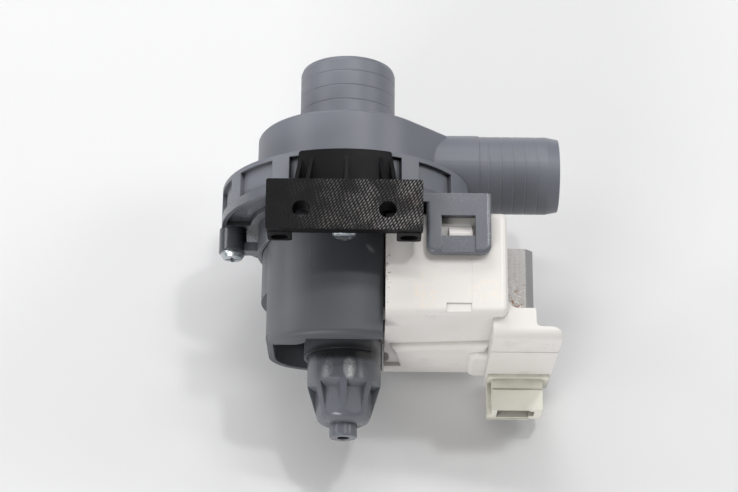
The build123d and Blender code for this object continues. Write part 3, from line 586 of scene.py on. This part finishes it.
@dataclass(frozen=True)
class GrainedPlastic(Finish):
    """Black plastic. The slanting rows of pips on its plate carry painted glints that grow lighter
    toward the right.
    """

    pip_pitch: float = 0.76
    pip_length: float = 1.5
    slant: tuple[float, float] = (0.78, 0.62)
    drift: Layer = Layer(17, 1, 1)
    drift_width: float = 3.0
    row_share: float = 0.65
    pip_share: float = 0.35
    pip_skew: float = 0.35
    breaks: Layer = Layer(0.8, 1, 3)
    pip_band: Band = (0.05, 0.75)
    pip_depth: float = 0.10
    pip_strength: float = 0.8
    upward_band: Band = (0.8, 0.95)
    plate_band: Band = (45.6, 45.9)
    # patches of painted glints on the pips, which also make the plate a little glossier
    rub_and_glint: Layer = Layer(7, 3, 0, (0.38, 0.66))
    glint_patch_floor: float = 0.16
    rub_gloss: float = 0.06
    lit_side_band: Band = (-20, 22)
    lit_side_floor: float = 0.03
    painted_glint_tint: Tint = Tint((0.30, 0.285, 0.28), 1.0)
    rust: Layer = Layer(3.5, 2, 8, (0.5, 0.7))
    rust_tint: Tint = Tint((0.30, 0.21, 0.17), 0.6)
    edge_radius: float = 0.3
    edge_wear: Layer = Layer(1.4, 4, 2, (0.4, 0.6))
    edge_tint: Tint = Tint((0.07, 0.07, 0.075), 0.4)
    specks: Layer = Layer(0.5, 1, 4, (0.66, 0.74))
    speck_tint: Tint = Tint((0.40, 0.39, 0.38), 0.6)
    grain: Layer = Layer(0.25, 2, 6)
    grain_depth: float = 0.01
    grain_roughness: float = 0.2
    sheen: float = 0.13

    def pips(self, sheet: ShaderSheet) -> Wire:
        """The slanting rows of pips.

        Args:
            sheet: the material's sheet.

        Returns:
            1 on a pip, and 0 between the pips.
        """
        x, y = sheet.axis("X"), sheet.axis("Y")
        steep, flat = self.slant
        drift = self.drift.on(sheet) * self.drift_width
        across = (x * steep - y * flat + drift) * (TURN / self.pip_pitch)
        along = (x * flat + y * steep + drift) * (TURN / self.pip_length)
        rows = across.sine() * self.row_share
        rows = rows + (along + across * self.pip_skew).sine() * self.pip_share
        return (rows + self.breaks.on(sheet) - HALF).rise(*self.pip_band)

    def material(self) -> bpy.types.Material:
        """Builds the material."""
        sheet = ShaderSheet(bpy.data.materials.new(self.name))
        pips = self.pips(sheet)
        plate = sheet.facing_up().rise(*self.upward_band)
        plate = plate * sheet.axis("Z").rise(*self.plate_band)
        rub_and_glint = self.rub_and_glint.on(sheet)
        side = sheet.axis("X").rise(*self.lit_side_band)
        # painted glints: the pips on the plate's top are painted lighter toward the right,
        # brownish in places
        light = pips * plate * rub_and_glint.above(self.glint_patch_floor) * side.above(self.lit_side_floor)
        color = self.painted_glint_tint.over(sheet, light, self.color)
        color = self.rust_tint.over(sheet, light * self.rust.on(sheet), color)
        edge = sheet.edge(self.edge_radius) * self.edge_wear.on(sheet)
        color = self.edge_tint.over(sheet, edge, color)
        # painted glints: pale specks on the plate's top, mostly toward the right
        specks = self.specks.on(sheet) * plate * side * rub_and_glint
        color = self.speck_tint.over(sheet, specks, color)
        grain = self.grain.on(sheet)
        normal = sheet.bumps(grain, self.grain_depth, sheet.soft_normal(self.edge_radius))
        normal = sheet.bumps(pips * plate, self.pip_depth, normal, self.pip_strength)
        roughness = self.roughness + grain.swing(self.grain_roughness) - rub_and_glint * self.rub_gloss
        return sheet.finish(color, roughness, normal, constants={"Specular IOR Level": self.sheen})


@dataclass(frozen=True)
class Zinc(Finish):
    """Bright zinc plate with a blue cast, dull spots and dirt in its corners."""

    spangle_pitch: float = 0.55
    spangle_share: float = 0.10
    cloud: Layer = Layer(1.6, 4)
    dull_band: Band = (0.5, 0.8)
    dull_tint: Tint = Tint((0.50, 0.50, 0.46), 0.4)
    cloud_roughness: float = 0.25
    corner_reach: float = 0.8
    dirt_band: Band = (0.35, 0.9)
    dirt_tint: Tint = Tint((0.09, 0.085, 0.08), 0.7)
    dirt_roughness: float = 0.25
    dirt_cover: float = 0.6
    scratches: Layer = Layer(0.25, 2, 3, stretch=(1, 6, 1))
    scratch_depth: float = 0.01
    edge_radius: float = 0.15

    def material(self) -> bpy.types.Material:
        """Builds the material."""
        sheet = ShaderSheet(bpy.data.materials.new(self.name))
        spangle = sheet.cells(self.spangle_pitch, "Color")
        color = sheet.mix(self.spangle_share, self.color, spangle)
        cloud = self.cloud.on(sheet)
        color = self.dull_tint.over(sheet, cloud.rise(*self.dull_band), color)
        dirt = sheet.hollow(self.corner_reach).rise(*self.dirt_band)
        color = self.dirt_tint.over(sheet, dirt, color)
        roughness = self.roughness + cloud.swing(self.cloud_roughness)
        roughness = roughness + dirt * self.dirt_roughness
        scratches = self.scratches.on(sheet)
        normal = sheet.soft_normal(self.edge_radius)
        normal = sheet.bumps(scratches, self.scratch_depth, normal)
        return sheet.finish(color, roughness, normal, 1 - dirt * self.dirt_cover)


@dataclass(frozen=True)
class Laminations(Finish):
    """A stack of punched steel sheets: fine joints, streaks, pale and rusty specks, and painted
    shade on its sloping chamfer.
    """

    sheet_thickness: float = 0.5
    joint_band: Band = (0.75, 1.0)
    joint_tint: Tint = Tint((0.10, 0.095, 0.09), 0.25)
    joint_depth: float = 0.02
    joint_strength: float = 0.6
    streaks: Layer = Layer(0.7, 3, 1, stretch=(1, 0.03, 1))
    streak_tone: Spread = (0.80, 0.4)
    streak_roughness: float = 0.2
    # painted shade on the sloping chamfer
    chamfer_shade_bands: tuple[Band, Band] = ((0.2, 0.4), (0.97, 0.85))
    chamfer_shade_tint: Tint = Tint((0.36, 0.36, 0.36), 1.0)
    upward_band: Band = (0.4, 0.7)
    upward_floor: float = 0.25
    worn_least: float = 0.25
    worn_band: Band = (-54.0, -61.0)
    specks: Layer = Layer(0.55, 3, 3)
    speck_band: Band = (0.54, 0.64)
    speck_tint: Tint = Tint((0.66, 0.63, 0.59), 0.8)
    speck_depth: float = 0.03
    rust: Layer = Layer(0.8, 4, 5, (0.54, 0.66))
    rust_tint: Tint = Tint((0.30, 0.16, 0.08), 0.8)
    rust_roughness: float = 0.1
    rust_cover: float = 0.2
    metallic: float = 0.35
    edge_radius: float = 0.2

    def material(self) -> bpy.types.Material:
        """Builds the material."""
        sheet = ShaderSheet(bpy.data.materials.new(self.name))
        depth = sheet.axis("Y")
        joint = (depth * (TURN / self.sheet_thickness)).cosine().rise(*self.joint_band)
        streaks = self.streaks.on(sheet)
        specks = self.specks.on(sheet)
        facing = sheet.facing_up()
        bevel = facing.rise(*self.chamfer_shade_bands[0]) * facing.rise(*self.chamfer_shade_bands[1])
        upward = facing.rise(*self.upward_band).above(self.upward_floor)
        worn = (self.worn_least + depth.rise(*self.worn_band)) * (1 - bevel) * upward
        # painted shade: the sloping chamfer is painted darker
        color = self.chamfer_shade_tint.over(sheet, bevel, self.color)
        color = sheet.vector("SCALE", color, streaks.spread(*self.streak_tone))
        color = self.speck_tint.over(sheet, specks.rise(*self.speck_band) * worn, color)
        rust = self.rust.on(sheet) * worn
        color = self.rust_tint.over(sheet, rust, color)
        color = self.joint_tint.over(sheet, joint, color)
        normal = sheet.soft_normal(self.edge_radius)
        normal = sheet.bumps(1 - joint, self.joint_depth, normal, self.joint_strength)
        normal = sheet.bumps(specks, self.speck_depth, normal)
        roughness = self.roughness + streaks.swing(self.streak_roughness)
        roughness = roughness + rust * self.rust_roughness
        return sheet.finish(color, roughness, normal, self.metallic - rust * self.rust_cover)


@dataclass(frozen=True)
class GroundMetal(Finish):
    """Ground metal with fine lines round the pump's axis."""

    tarnish: Tint = Tint((0.30, 0.28, 0.25), 0.3)
    tarnish_band: Band = (0.5, 0.8)
    lines: Layer = Layer(0.4, 3, stretch=(0.05, 6, 0.05))
    line_tone: Spread = (0.9, 0.2)
    line_roughness: float = 0.1
    line_depth: float = 0.004
    cloud: Layer = Layer(3, 4, 2)
    cloud_roughness: float = 0.15
    edge_radius: float = 0.12

    def material(self) -> bpy.types.Material:
        """Builds the material."""
        sheet = ShaderSheet(bpy.data.materials.new(self.name))
        lines = self.lines.on(sheet)
        cloud = self.cloud.on(sheet)
        color = sheet.vector("SCALE", self.color, lines.spread(*self.line_tone))
        color = self.tarnish.over(sheet, cloud.rise(*self.tarnish_band), color)
        roughness = self.roughness + cloud.swing(self.cloud_roughness)
        roughness = roughness + lines.swing(self.line_roughness)
        normal = sheet.bumps(lines, self.line_depth, sheet.soft_normal(self.edge_radius))
        return sheet.finish(color, roughness, normal, 1.0)


@dataclass(frozen=True)
class WoundWire(Finish):
    """Enamelled wire wound in close turns round a bobbin that lies along X."""

    wire: float = 0.28
    drift: Layer = Layer(5, 2)
    drift_width: float = 0.45
    turn_tone: Spread = (0.55, 0.6)
    turn_depth: float = 0.10
    cloud: Layer = Layer(4, 4, 3)
    dark_band: Band = (0.45, 0.8)
    dark_tint: Tint = Tint((0.30, 0.08, 0.03), 0.3)
    cloud_roughness: float = 0.2
    edge_radius: float = 0.2
    metallic: float = 0.8
    coat: float = 0.5
    coat_roughness: float = 0.25

    def material(self) -> bpy.types.Material:
        """Builds the material."""
        sheet = ShaderSheet(bpy.data.materials.new(self.name))
        drift = self.drift.on(sheet) * self.drift_width
        phase = (sheet.axis("X") + drift) * (TURN / self.wire)
        turns = phase.sine() * HALF + HALF
        cloud = self.cloud.on(sheet)
        color = sheet.vector("SCALE", self.color, turns.spread(*self.turn_tone))
        color = self.dark_tint.over(sheet, cloud.rise(*self.dark_band), color)
        roughness = self.roughness + cloud.swing(self.cloud_roughness)
        normal = sheet.bumps(turns, self.turn_depth, sheet.soft_normal(self.edge_radius))
        constants = {"Coat Weight": self.coat, "Coat Roughness": self.coat_roughness}
        return sheet.finish(color, roughness, normal, self.metallic, constants)


@dataclass(frozen=True)
class Sintered(Finish):
    """Pressed and fired ferrite or bearing carbon, with grains, pits and a ground sheen."""

    grain_pitch: float = 0.3
    fleck: Tint = Tint((0.12, 0.12, 0.13), 0.35)
    fleck_band: Band = (0.25, 0.05)
    pits: Layer = Layer(0.9, 4, 2, (0.62, 0.75))
    pit_depth: float = 0.02
    pit_roughness: float = 0.2
    lines: Layer = Layer(0.5, 2, 4, stretch=(0.1, 5, 0.1))
    line_tone: Spread = (0.85, 0.3)
    line_depth: float = 0.006
    line_roughness: float = 0.1
    edge_radius: float = 0.2

    def material(self) -> bpy.types.Material:
        """Builds the material."""
        sheet = ShaderSheet(bpy.data.materials.new(self.name))
        grains = sheet.cells(self.grain_pitch, "Distance")
        pits = self.pits.on(sheet)
        lines = self.lines.on(sheet)
        color = sheet.vector("SCALE", self.color, lines.spread(*self.line_tone))
        color = self.fleck.over(sheet, grains.rise(*self.fleck_band), color)
        roughness = self.roughness + pits * self.pit_roughness
        roughness = roughness + lines.swing(self.line_roughness)
        normal = sheet.bumps(1 - pits, self.pit_depth, sheet.soft_normal(self.edge_radius))
        normal = sheet.bumps(lines, self.line_depth, normal)
        return sheet.finish(color, roughness, normal)


@dataclass(frozen=True)
class Rubber(Finish):
    """Black moulded rubber with a pale bloom and fine grit."""

    bloom: Layer = Layer(3, 5, 0, (0.45, 0.8))
    bloom_tint: Tint = Tint((0.085, 0.083, 0.078), 0.35)
    bloom_roughness: float = 0.1
    grit: Layer = Layer(0.25, 2, 2)
    grit_depth: float = 0.015
    grit_roughness: float = 0.2
    edge_radius: float = 0.25

    def material(self) -> bpy.types.Material:
        """Builds the material."""
        sheet = ShaderSheet(bpy.data.materials.new(self.name))
        bloom = self.bloom.on(sheet)
        grit = self.grit.on(sheet)
        color = self.bloom_tint.over(sheet, bloom, self.color)
        roughness = self.roughness + grit.swing(self.grit_roughness)
        roughness = roughness + bloom * self.bloom_roughness
        normal = sheet.bumps(grit, self.grit_depth, sheet.soft_normal(self.edge_radius))
        return sheet.finish(color, roughness, normal)


@dataclass(frozen=True)
class GlassFilled(Finish):
    """Black plastic filled with short glass fibres that show as fine pale flecks."""

    fibres: Layer = Layer(0.5, 2, 0, (0.58, 0.70), (0.25, 1.8, 0.25))
    crossed: Layer = Layer(0.5, 2, 3, (0.60, 0.72), (1.8, 0.3, 0.8))
    fibre_tint: Tint = Tint((0.14, 0.14, 0.145), 0.4)
    fibre_depth: float = 0.01
    fibre_roughness: float = 0.1
    cloud: Layer = Layer(8, 3, 5)
    cloud_tone: Spread = (0.8, 0.4)
    cloud_roughness: float = 0.2
    edge_radius: float = 0.25
    edge_tint: Tint = Tint((0.12, 0.12, 0.125), 0.35)

    def material(self) -> bpy.types.Material:
        """Builds the material."""
        sheet = ShaderSheet(bpy.data.materials.new(self.name))
        fibres = self.fibres.on(sheet)
        crossed = self.crossed.on(sheet)
        cloud = self.cloud.on(sheet)
        color = sheet.vector("SCALE", self.color, cloud.spread(*self.cloud_tone))
        color = self.fibre_tint.over(sheet, fibres.at_least(crossed), color)
        color = self.edge_tint.over(sheet, sheet.edge(self.edge_radius), color)
        roughness = self.roughness + cloud.swing(self.cloud_roughness)
        roughness = roughness + fibres * self.fibre_roughness
        normal = sheet.bumps(fibres, self.fibre_depth, sheet.soft_normal(self.edge_radius))
        return sheet.finish(color, roughness, normal)


class Stock:
    """The finishes of the pump, each built once."""

    SHADE: Color = (0.018, 0.019, 0.022)
    STAIN: Color = (0.22, 0.12, 0.06)

    HOUSING = MouldedPlastic("blue grey housing plastic", (0.188, 0.199, 0.230), 0.44)
    CAN = MouldedPlastic(
        "blue grey can plastic", (0.150, 0.160, 0.183), 0.26, seed=1.0,
        grain_depth=0.003, waves=Layer(5.0, 1, 15), wave_depth=0.02,
        marks=(
            # painted highlights on the can below the cover: a bright glint, and a fainter
            # reflection to its left
            Mark((1.9, -81.8, 12.0), (2.4, 4.4, 4.0),
                 Tint((0.66, 0.66, 0.65), 0.8), 0.6, (0.10, 0.80)),
            Mark((-4.7, -81.4, 11.0), (1.6, 4.0, 4.0),
                 Tint((0.34, 0.35, 0.37), 0.5), 0.8, (0.2, 0.7)),
            # shade under the cover's end, under the bracket's plate, and behind the left screw
            Mark((0.0, -75.5, 8.0), (16.0, 4.4, 12.0), Tint(SHADE, 0.92)),
            Mark((14.4, -33.0, 22.0), (14.0, 16.0, 13.0), Tint(SHADE, 0.96)),
            Mark((-14.4, -33.0, 22.0), (14.0, 16.0, 13.0), Tint(SHADE, 0.96)),
            Mark((-37.5, -34.5, 4.5), (8.0, 9.0, 9.0), Tint(SHADE, 0.55)),
            # pale specks on the latch loop, and the worn flash of its edges
            Mark((36.0, -31.5, 35.0), (9.0, 3.0, 2.0),
                 Tint((0.46, 0.46, 0.45), 0.25), 0.4, (0.54, 0.66)),
            Mark((38.0, -40.0, 35.0), (12.0, 14.0, 2.0),
                 Tint((0.44, 0.45, 0.46), 0.30), 0.35, (0.58, 0.68)),
            Mark((45.6, -41.0, 34.0), (1.3, 9.0, 3.0),
                 Tint((0.58, 0.57, 0.55), 0.45), 0.5, (0.55, 0.66)),
        ),
    )
    COVER = MouldedPlastic(
        "dark grey cover plastic", (0.088, 0.093, 0.105), 0.50, seed=2.0,
        edge_tint=Tint((0.22, 0.23, 0.24), 0.35),
        marks=(
            # painted shade on its neck and below the bracket, and painted light on its left side
            Mark((0.0, -76.0, 8.0), (17.0, 3.0, 10.0), Tint(SHADE, 0.9)),
            Mark((6.0, -46.0, 34.0), (27.0, 12.0, 18.0), Tint(SHADE, 0.25)),
            Mark((-34.0, -58.0, 12.0), (26.0, 40.0, 34.0), Tint((0.140, 0.147, 0.160), 0.85)),
        ),
    )
    COIL = CoilPlastic(
        "white coil plastic", (0.88, 0.85, 0.815), 0.30, seed=4.0,
        cloud=0.04, speckle=0.02, grain_depth=0.006, painted_shade_share=0.35,
        edge_tint=Tint((0.86, 0.84, 0.80), 0.3), dust=Tint((0.42, 0.37, 0.31), 0.12),
        marks=(
            # painted reflections of warm light on the top
            Mark((26.2, -62.0, 31.0), (5.5, 8.0, 2.0),
                 Tint((0.96, 0.86, 0.74), 0.55), 1.6, (0.46, 0.58)),
            Mark((44.7, -62.0, 31.0), (7.0, 5.0, 2.0),
                 Tint((0.96, 0.88, 0.78), 0.45), 1.6, (0.46, 0.58)),
            # brown stains: at the terminal block, in the gap beside the can, and along the cover
            Mark((64.0, -75.5, 17.0), (4.5, 3.0, 6.0), Tint(STAIN, 0.55), 0.6, (0.60, 0.68)),
            Mark((13.2, -69.0, -17.0), (2.0, 2.5, 7.0),
                 Tint((0.06, 0.045, 0.03), 0.95), 1.2, (0.25, 0.50)),
            Mark((14.0, -58.0, 26.0), (1.2, 7.0, 9.0), Tint(STAIN, 0.8), 1.0, (0.56, 0.64)),
            # shade under the bracket's plate
            Mark((15.0, -35.5, 28.0), (10.0, 8.0, 12.0), Tint(SHADE, 0.97)),
        ),
    )
    CONNECTOR = MouldedPlastic(
        "cream connector plastic", (0.95, 0.93, 0.82), 0.34, seed=6.0,
        cloud=0.04, speckle=0.02, grain_depth=0.004, painted_shade_share=0.6,
        edge_tint=Tint((0.80, 0.77, 0.69), 0.3), dust=Tint((0.26, 0.20, 0.11), 0.6),
    )
    BRACKET = GrainedPlastic("black grained bracket plastic", (0.007, 0.007, 0.008), 0.50)
    INNER = MouldedPlastic(
        "natural inner plastic", (0.58, 0.57, 0.53), 0.38, seed=8.0,
        cloud=0.06, grain_depth=0.004,
        edge_tint=Tint((0.66, 0.65, 0.61), 0.35), dust=Tint((0.30, 0.28, 0.24), 0.15),
    )
    IMPELLER = GlassFilled("glass filled impeller plastic", (0.030, 0.032, 0.036), 0.42)
    ZINC = Zinc("zinc plate", (0.58, 0.625, 0.66), 0.36)
    STEEL_STACK = Laminations("laminated steel", (0.46, 0.45, 0.44), 0.50)
    SHAFT = GroundMetal("ground shaft steel", (0.62, 0.62, 0.63), 0.22)
    BRASS = GroundMetal(
        "tinned brass", (0.70, 0.62, 0.42), 0.32, tarnish=Tint((0.32, 0.22, 0.10), 0.3)
    )
    COPPER = WoundWire("enamelled copper wire", (0.62, 0.22, 0.08), 0.35)
    FERRITE = Sintered("ferrite", (0.035, 0.034, 0.036), 0.45)
    BEARING = Sintered(
        "bearing carbon", (0.060, 0.058, 0.056), 0.28,
        grain_pitch=0.2, fleck=Tint((0.11, 0.105, 0.10), 0.35),
    )
    RUBBER = Rubber("black rubber", (0.020, 0.020, 0.021), 0.70)

    def __init__(self) -> None:
        """Starts with nothing built."""
        self.built: dict[str, bpy.types.Material] = {}

    def material(self, finish: Finish) -> bpy.types.Material:
        """The material of a finish.

        Args:
            finish: the finish wanted.

        Returns:
            Its material, built the first time that it is asked for.
        """
        if finish.name not in self.built:
            self.built[finish.name] = finish.material()
        return self.built[finish.name]


class Half(Enum):
    """Which half of the pump a group belongs to."""

    WET = "wet half"
    MOTOR = "motor half"


@dataclass
class Group:
    """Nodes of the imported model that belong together, with the finish of each."""

    stock: Stock
    title: str
    finishes: dict[str, Finish]
    half: Half = Half.MOTOR

    def dress(self) -> None:
        """Gives every node its finish."""
        for node, finish in self.finishes.items():
            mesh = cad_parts[node].data
            mesh.materials.clear()
            mesh.materials.append(self.stock.material(finish))
            log.info("%s, %s: %s has %s", self.half.value, self.title, node, finish.name)


@dataclass
class PumpHousing(Group):
    """The pump chamber with its two spigots, the rotor's can and nose, and their seal."""

    title: str = "pump housing"
    finishes: dict[str, Finish] = field(default_factory=lambda: {
        "volute_cover": Stock.HOUSING,
        "rotor_housing": Stock.CAN,
        "chamber_seal": Stock.RUBBER,
    })
    half: Half = Half.WET


@dataclass
class MotorCover(Group):
    """The cover over the rotor's can."""

    title: str = "motor cover"
    finishes: dict[str, Finish] = field(default_factory=lambda: {"motor_cover": Stock.COVER})


@dataclass
class CoilGroup(Group):
    """The steel core, its two coils, their white body and the connector."""

    title: str = "coils"
    finishes: dict[str, Finish] = field(default_factory=lambda: {
        "coil_cover": Stock.COIL,
        "stator_core": Stock.STEEL_STACK,
        "upper_bobbin": Stock.INNER,
        "lower_bobbin": Stock.INNER,
        "upper_winding": Stock.COPPER,
        "lower_winding": Stock.COPPER,
        "connector_housing": Stock.CONNECTOR,
        "terminals": Stock.BRASS,
    })


@dataclass
class Rotor(Group):
    """The magnet on its shaft, with the bearings that it turns in."""

    title: str = "rotor"
    finishes: dict[str, Finish] = field(default_factory=lambda: {
        "rotor_shaft": Stock.SHAFT,
        "rotor_magnet": Stock.FERRITE,
        "magnet_sleeve": Stock.INNER,
        "front_thrust_washer": Stock.BEARING,
        "rear_thrust_washer": Stock.BEARING,
        "drive_dog": Stock.INNER,
        "bearing_carrier": Stock.INNER,
        "carrier_seal": Stock.RUBBER,
        "front_bearing": Stock.BEARING,
        "rear_bearing": Stock.BEARING,
        "front_bearing_mount": Stock.RUBBER,
        "rear_bearing_mount": Stock.RUBBER,
    })


@dataclass
class ImpellerGroup(Group):
    """The impeller and the cap over its coupling."""

    title: str = "impeller"
    finishes: dict[str, Finish] = field(default_factory=lambda: {
        "impeller": Stock.IMPELLER,
        "impeller_cap": Stock.IMPELLER,
    })
    half: Half = Half.WET


@dataclass
class BracketGroup(Group):
    """The black mounting bracket."""

    title: str = "bracket"
    finishes: dict[str, Finish] = field(
        default_factory=lambda: {"mounting_bracket": Stock.BRACKET}
    )


@dataclass
class Fasteners(Group):
    """The screws of the flange and the bracket."""

    title: str = "screws"
    finishes: dict[str, Finish] = field(default_factory=lambda: {
        "flange_screws": Stock.ZINC,
        "bracket_screw": Stock.ZINC,
    })


@dataclass(frozen=True)
class Lamp:
    """One area lamp, a metre away from the pump."""

    name: str
    toward: Triple
    size: tuple[float, float]
    power: float


@dataclass
class Studio:
    """The table, the light round the pump, and the camera.

    The pump lies on its flange with its nose down, so in the pump's frame the table leans.
    """

    table_lean: float = 12.0
    table_touch: Triple = (0.0, -39.4 * MM, -42.3 * MM)
    table_reach: float = 0.75
    table_squares: int = 8
    table_color: Color = (0.86, 0.86, 0.865)
    table_roughness: float = 0.9
    table_sheen: float = 0.1
    fibre: Layer = Layer(1.2, 4)
    fibre_tone: float = 0.995
    fibre_width: float = 0.01
    fibre_depth: float = 0.01
    lamps: tuple[Lamp, ...] = (
        Lamp("strip lamp", (0.12, 0.53, 0.84), (0.70, 0.06), 2.4),
        Lamp("ceiling lamp", (0.29, 0.34, 0.89), (0.08, 0.05), 1.4),
        Lamp("back window", (-0.29, 0.79, 0.53), (0.90, 0.25), 3.8),
        Lamp("right window", (0.79, 0.38, 0.49), (0.30, 0.30), 2.2),
        Lamp("left window", (-0.82, 0.36, 0.46), (0.30, 0.30), 1.7),
        Lamp("front window", (-0.40, -0.72, 0.56), (0.50, 0.20), 4.4),
    )
    lamps_aim: Triple = (10 * MM, -50 * MM, 0.0)
    sky_low: float = 0.14
    sky_high: float = 0.12
    sky_turn: Band = (0.7, 0.2)
    backdrop: float = 0.84
    camera_place: Triple = (7.7 * MM, -251.1 * MM, 593.3 * MM)
    camera_height: float = 70.11
    camera_roll: float = 0.55
    camera_clip: float = 10 * MM
    focal_pixels: float = 1900.0
    picture_width: float = 738.0
    sensor: float = 36.0

    def paper(self) -> bpy.types.Material:
        """The table's plain pale paper."""
        sheet = ShaderSheet(bpy.data.materials.new("table paper"))
        fibre = self.fibre.on(sheet)
        tone = self.fibre_tone + fibre.swing(self.fibre_width)
        color = sheet.vector("SCALE", self.table_color, tone)
        normal = sheet.bumps(fibre, self.fibre_depth)
        constants = {"Specular IOR Level": self.table_sheen}
        return sheet.finish(color, self.table_roughness, normal, constants=constants)

    def table(self) -> None:
        """Lays the table under the pump."""
        squares = self.table_squares
        grid = bmesh.new()
        bmesh.ops.create_grid(
            grid, x_segments=squares, y_segments=squares, size=self.table_reach
        )
        mesh = bpy.data.meshes.new("table")
        grid.to_mesh(mesh)
        grid.free()
        mesh.materials.append(self.paper())
        table = bpy.data.objects.new("table", mesh)
        table.location = self.table_touch
        table.rotation_euler.x = -radians(self.table_lean)
        bpy.context.scene.collection.objects.link(table)

    def sky(self) -> None:
        """Gives weak soft light from all round, and shows the camera a pale backdrop."""
        world = bpy.data.worlds.new("studio")
        bpy.context.scene.world = world
        sheet = ShaderSheet(world)
        toward = sheet.node("ShaderNodeTexCoord", output="Generated")
        height = sheet.node("ShaderNodeSeparateXYZ", inputs={0: toward}, output="Z")
        low = height.rise(*self.sky_turn)
        light = self.sky_high + low * (self.sky_low - self.sky_high)
        seen = sheet.node("ShaderNodeLightPath", output="Is Camera Ray")
        strength = light * (1 - seen) + seen * self.backdrop
        inputs = {"Color": (1.0, 1.0, 1.0), "Strength": strength}
        glow = sheet.node("ShaderNodeBackground", None, inputs)
        sheet.node("ShaderNodeOutputWorld", None, {"Surface": glow})

    def hang(self, lamp: Lamp) -> None:
        """Hangs one lamp.

        Args:
            lamp: the lamp to hang.
        """
        light = bpy.data.lights.new(lamp.name, "AREA")
        light.shape = "RECTANGLE"
        light.size, light.size_y = lamp.size
        light.energy = lamp.power
        toward = Vector(lamp.toward).normalized()
        holder = bpy.data.objects.new(lamp.name, light)
        holder.location = Vector(self.lamps_aim) + toward
        holder.rotation_euler = toward.to_track_quat("Z", "Y").to_euler()
        bpy.context.scene.collection.objects.link(holder)

    def camera(self) -> None:
        """Places the camera where the photograph was taken from."""
        height = radians(self.camera_height)
        roll = radians(self.camera_roll)
        back = Vector((0, -cos(height), sin(height)))
        side = Vector((1, 0, 0))
        top = back.cross(side)
        right = side * cos(roll) + top * sin(roll)
        up = top * cos(roll) - side * sin(roll)
        turn = Matrix((right, up, back)).transposed().to_4x4()
        data = bpy.data.cameras.new("camera")
        data.sensor_width = self.sensor
        data.lens = self.focal_pixels / self.picture_width * self.sensor
        data.clip_start = self.camera_clip
        camera = bpy.data.objects.new("camera", data)
        camera.matrix_world = Matrix.Translation(self.camera_place) @ turn
        bpy.context.scene.collection.objects.link(camera)
        bpy.context.scene.camera = camera

    def build(self) -> None:
        """Builds the whole studio."""
        bpy.context.scene.view_settings.view_transform = "Standard"
        self.table()
        self.sky()
        for lamp in self.lamps:
            self.hang(lamp)
        self.camera()
        log.info("studio: table, sky, %d lamps and the camera", len(self.lamps))


def main() -> None:
    """Dresses the pump piece by piece and sets up the studio."""
    logging.basicConfig(level=logging.INFO, format="%(message)s")
    stock = Stock()
    groups = (
        PumpHousing, MotorCover, CoilGroup, Rotor, ImpellerGroup, BracketGroup, Fasteners,
    )
    for group in groups:
        group(stock).dress()
    Studio().build()


if __name__ == "__main__":
    main()
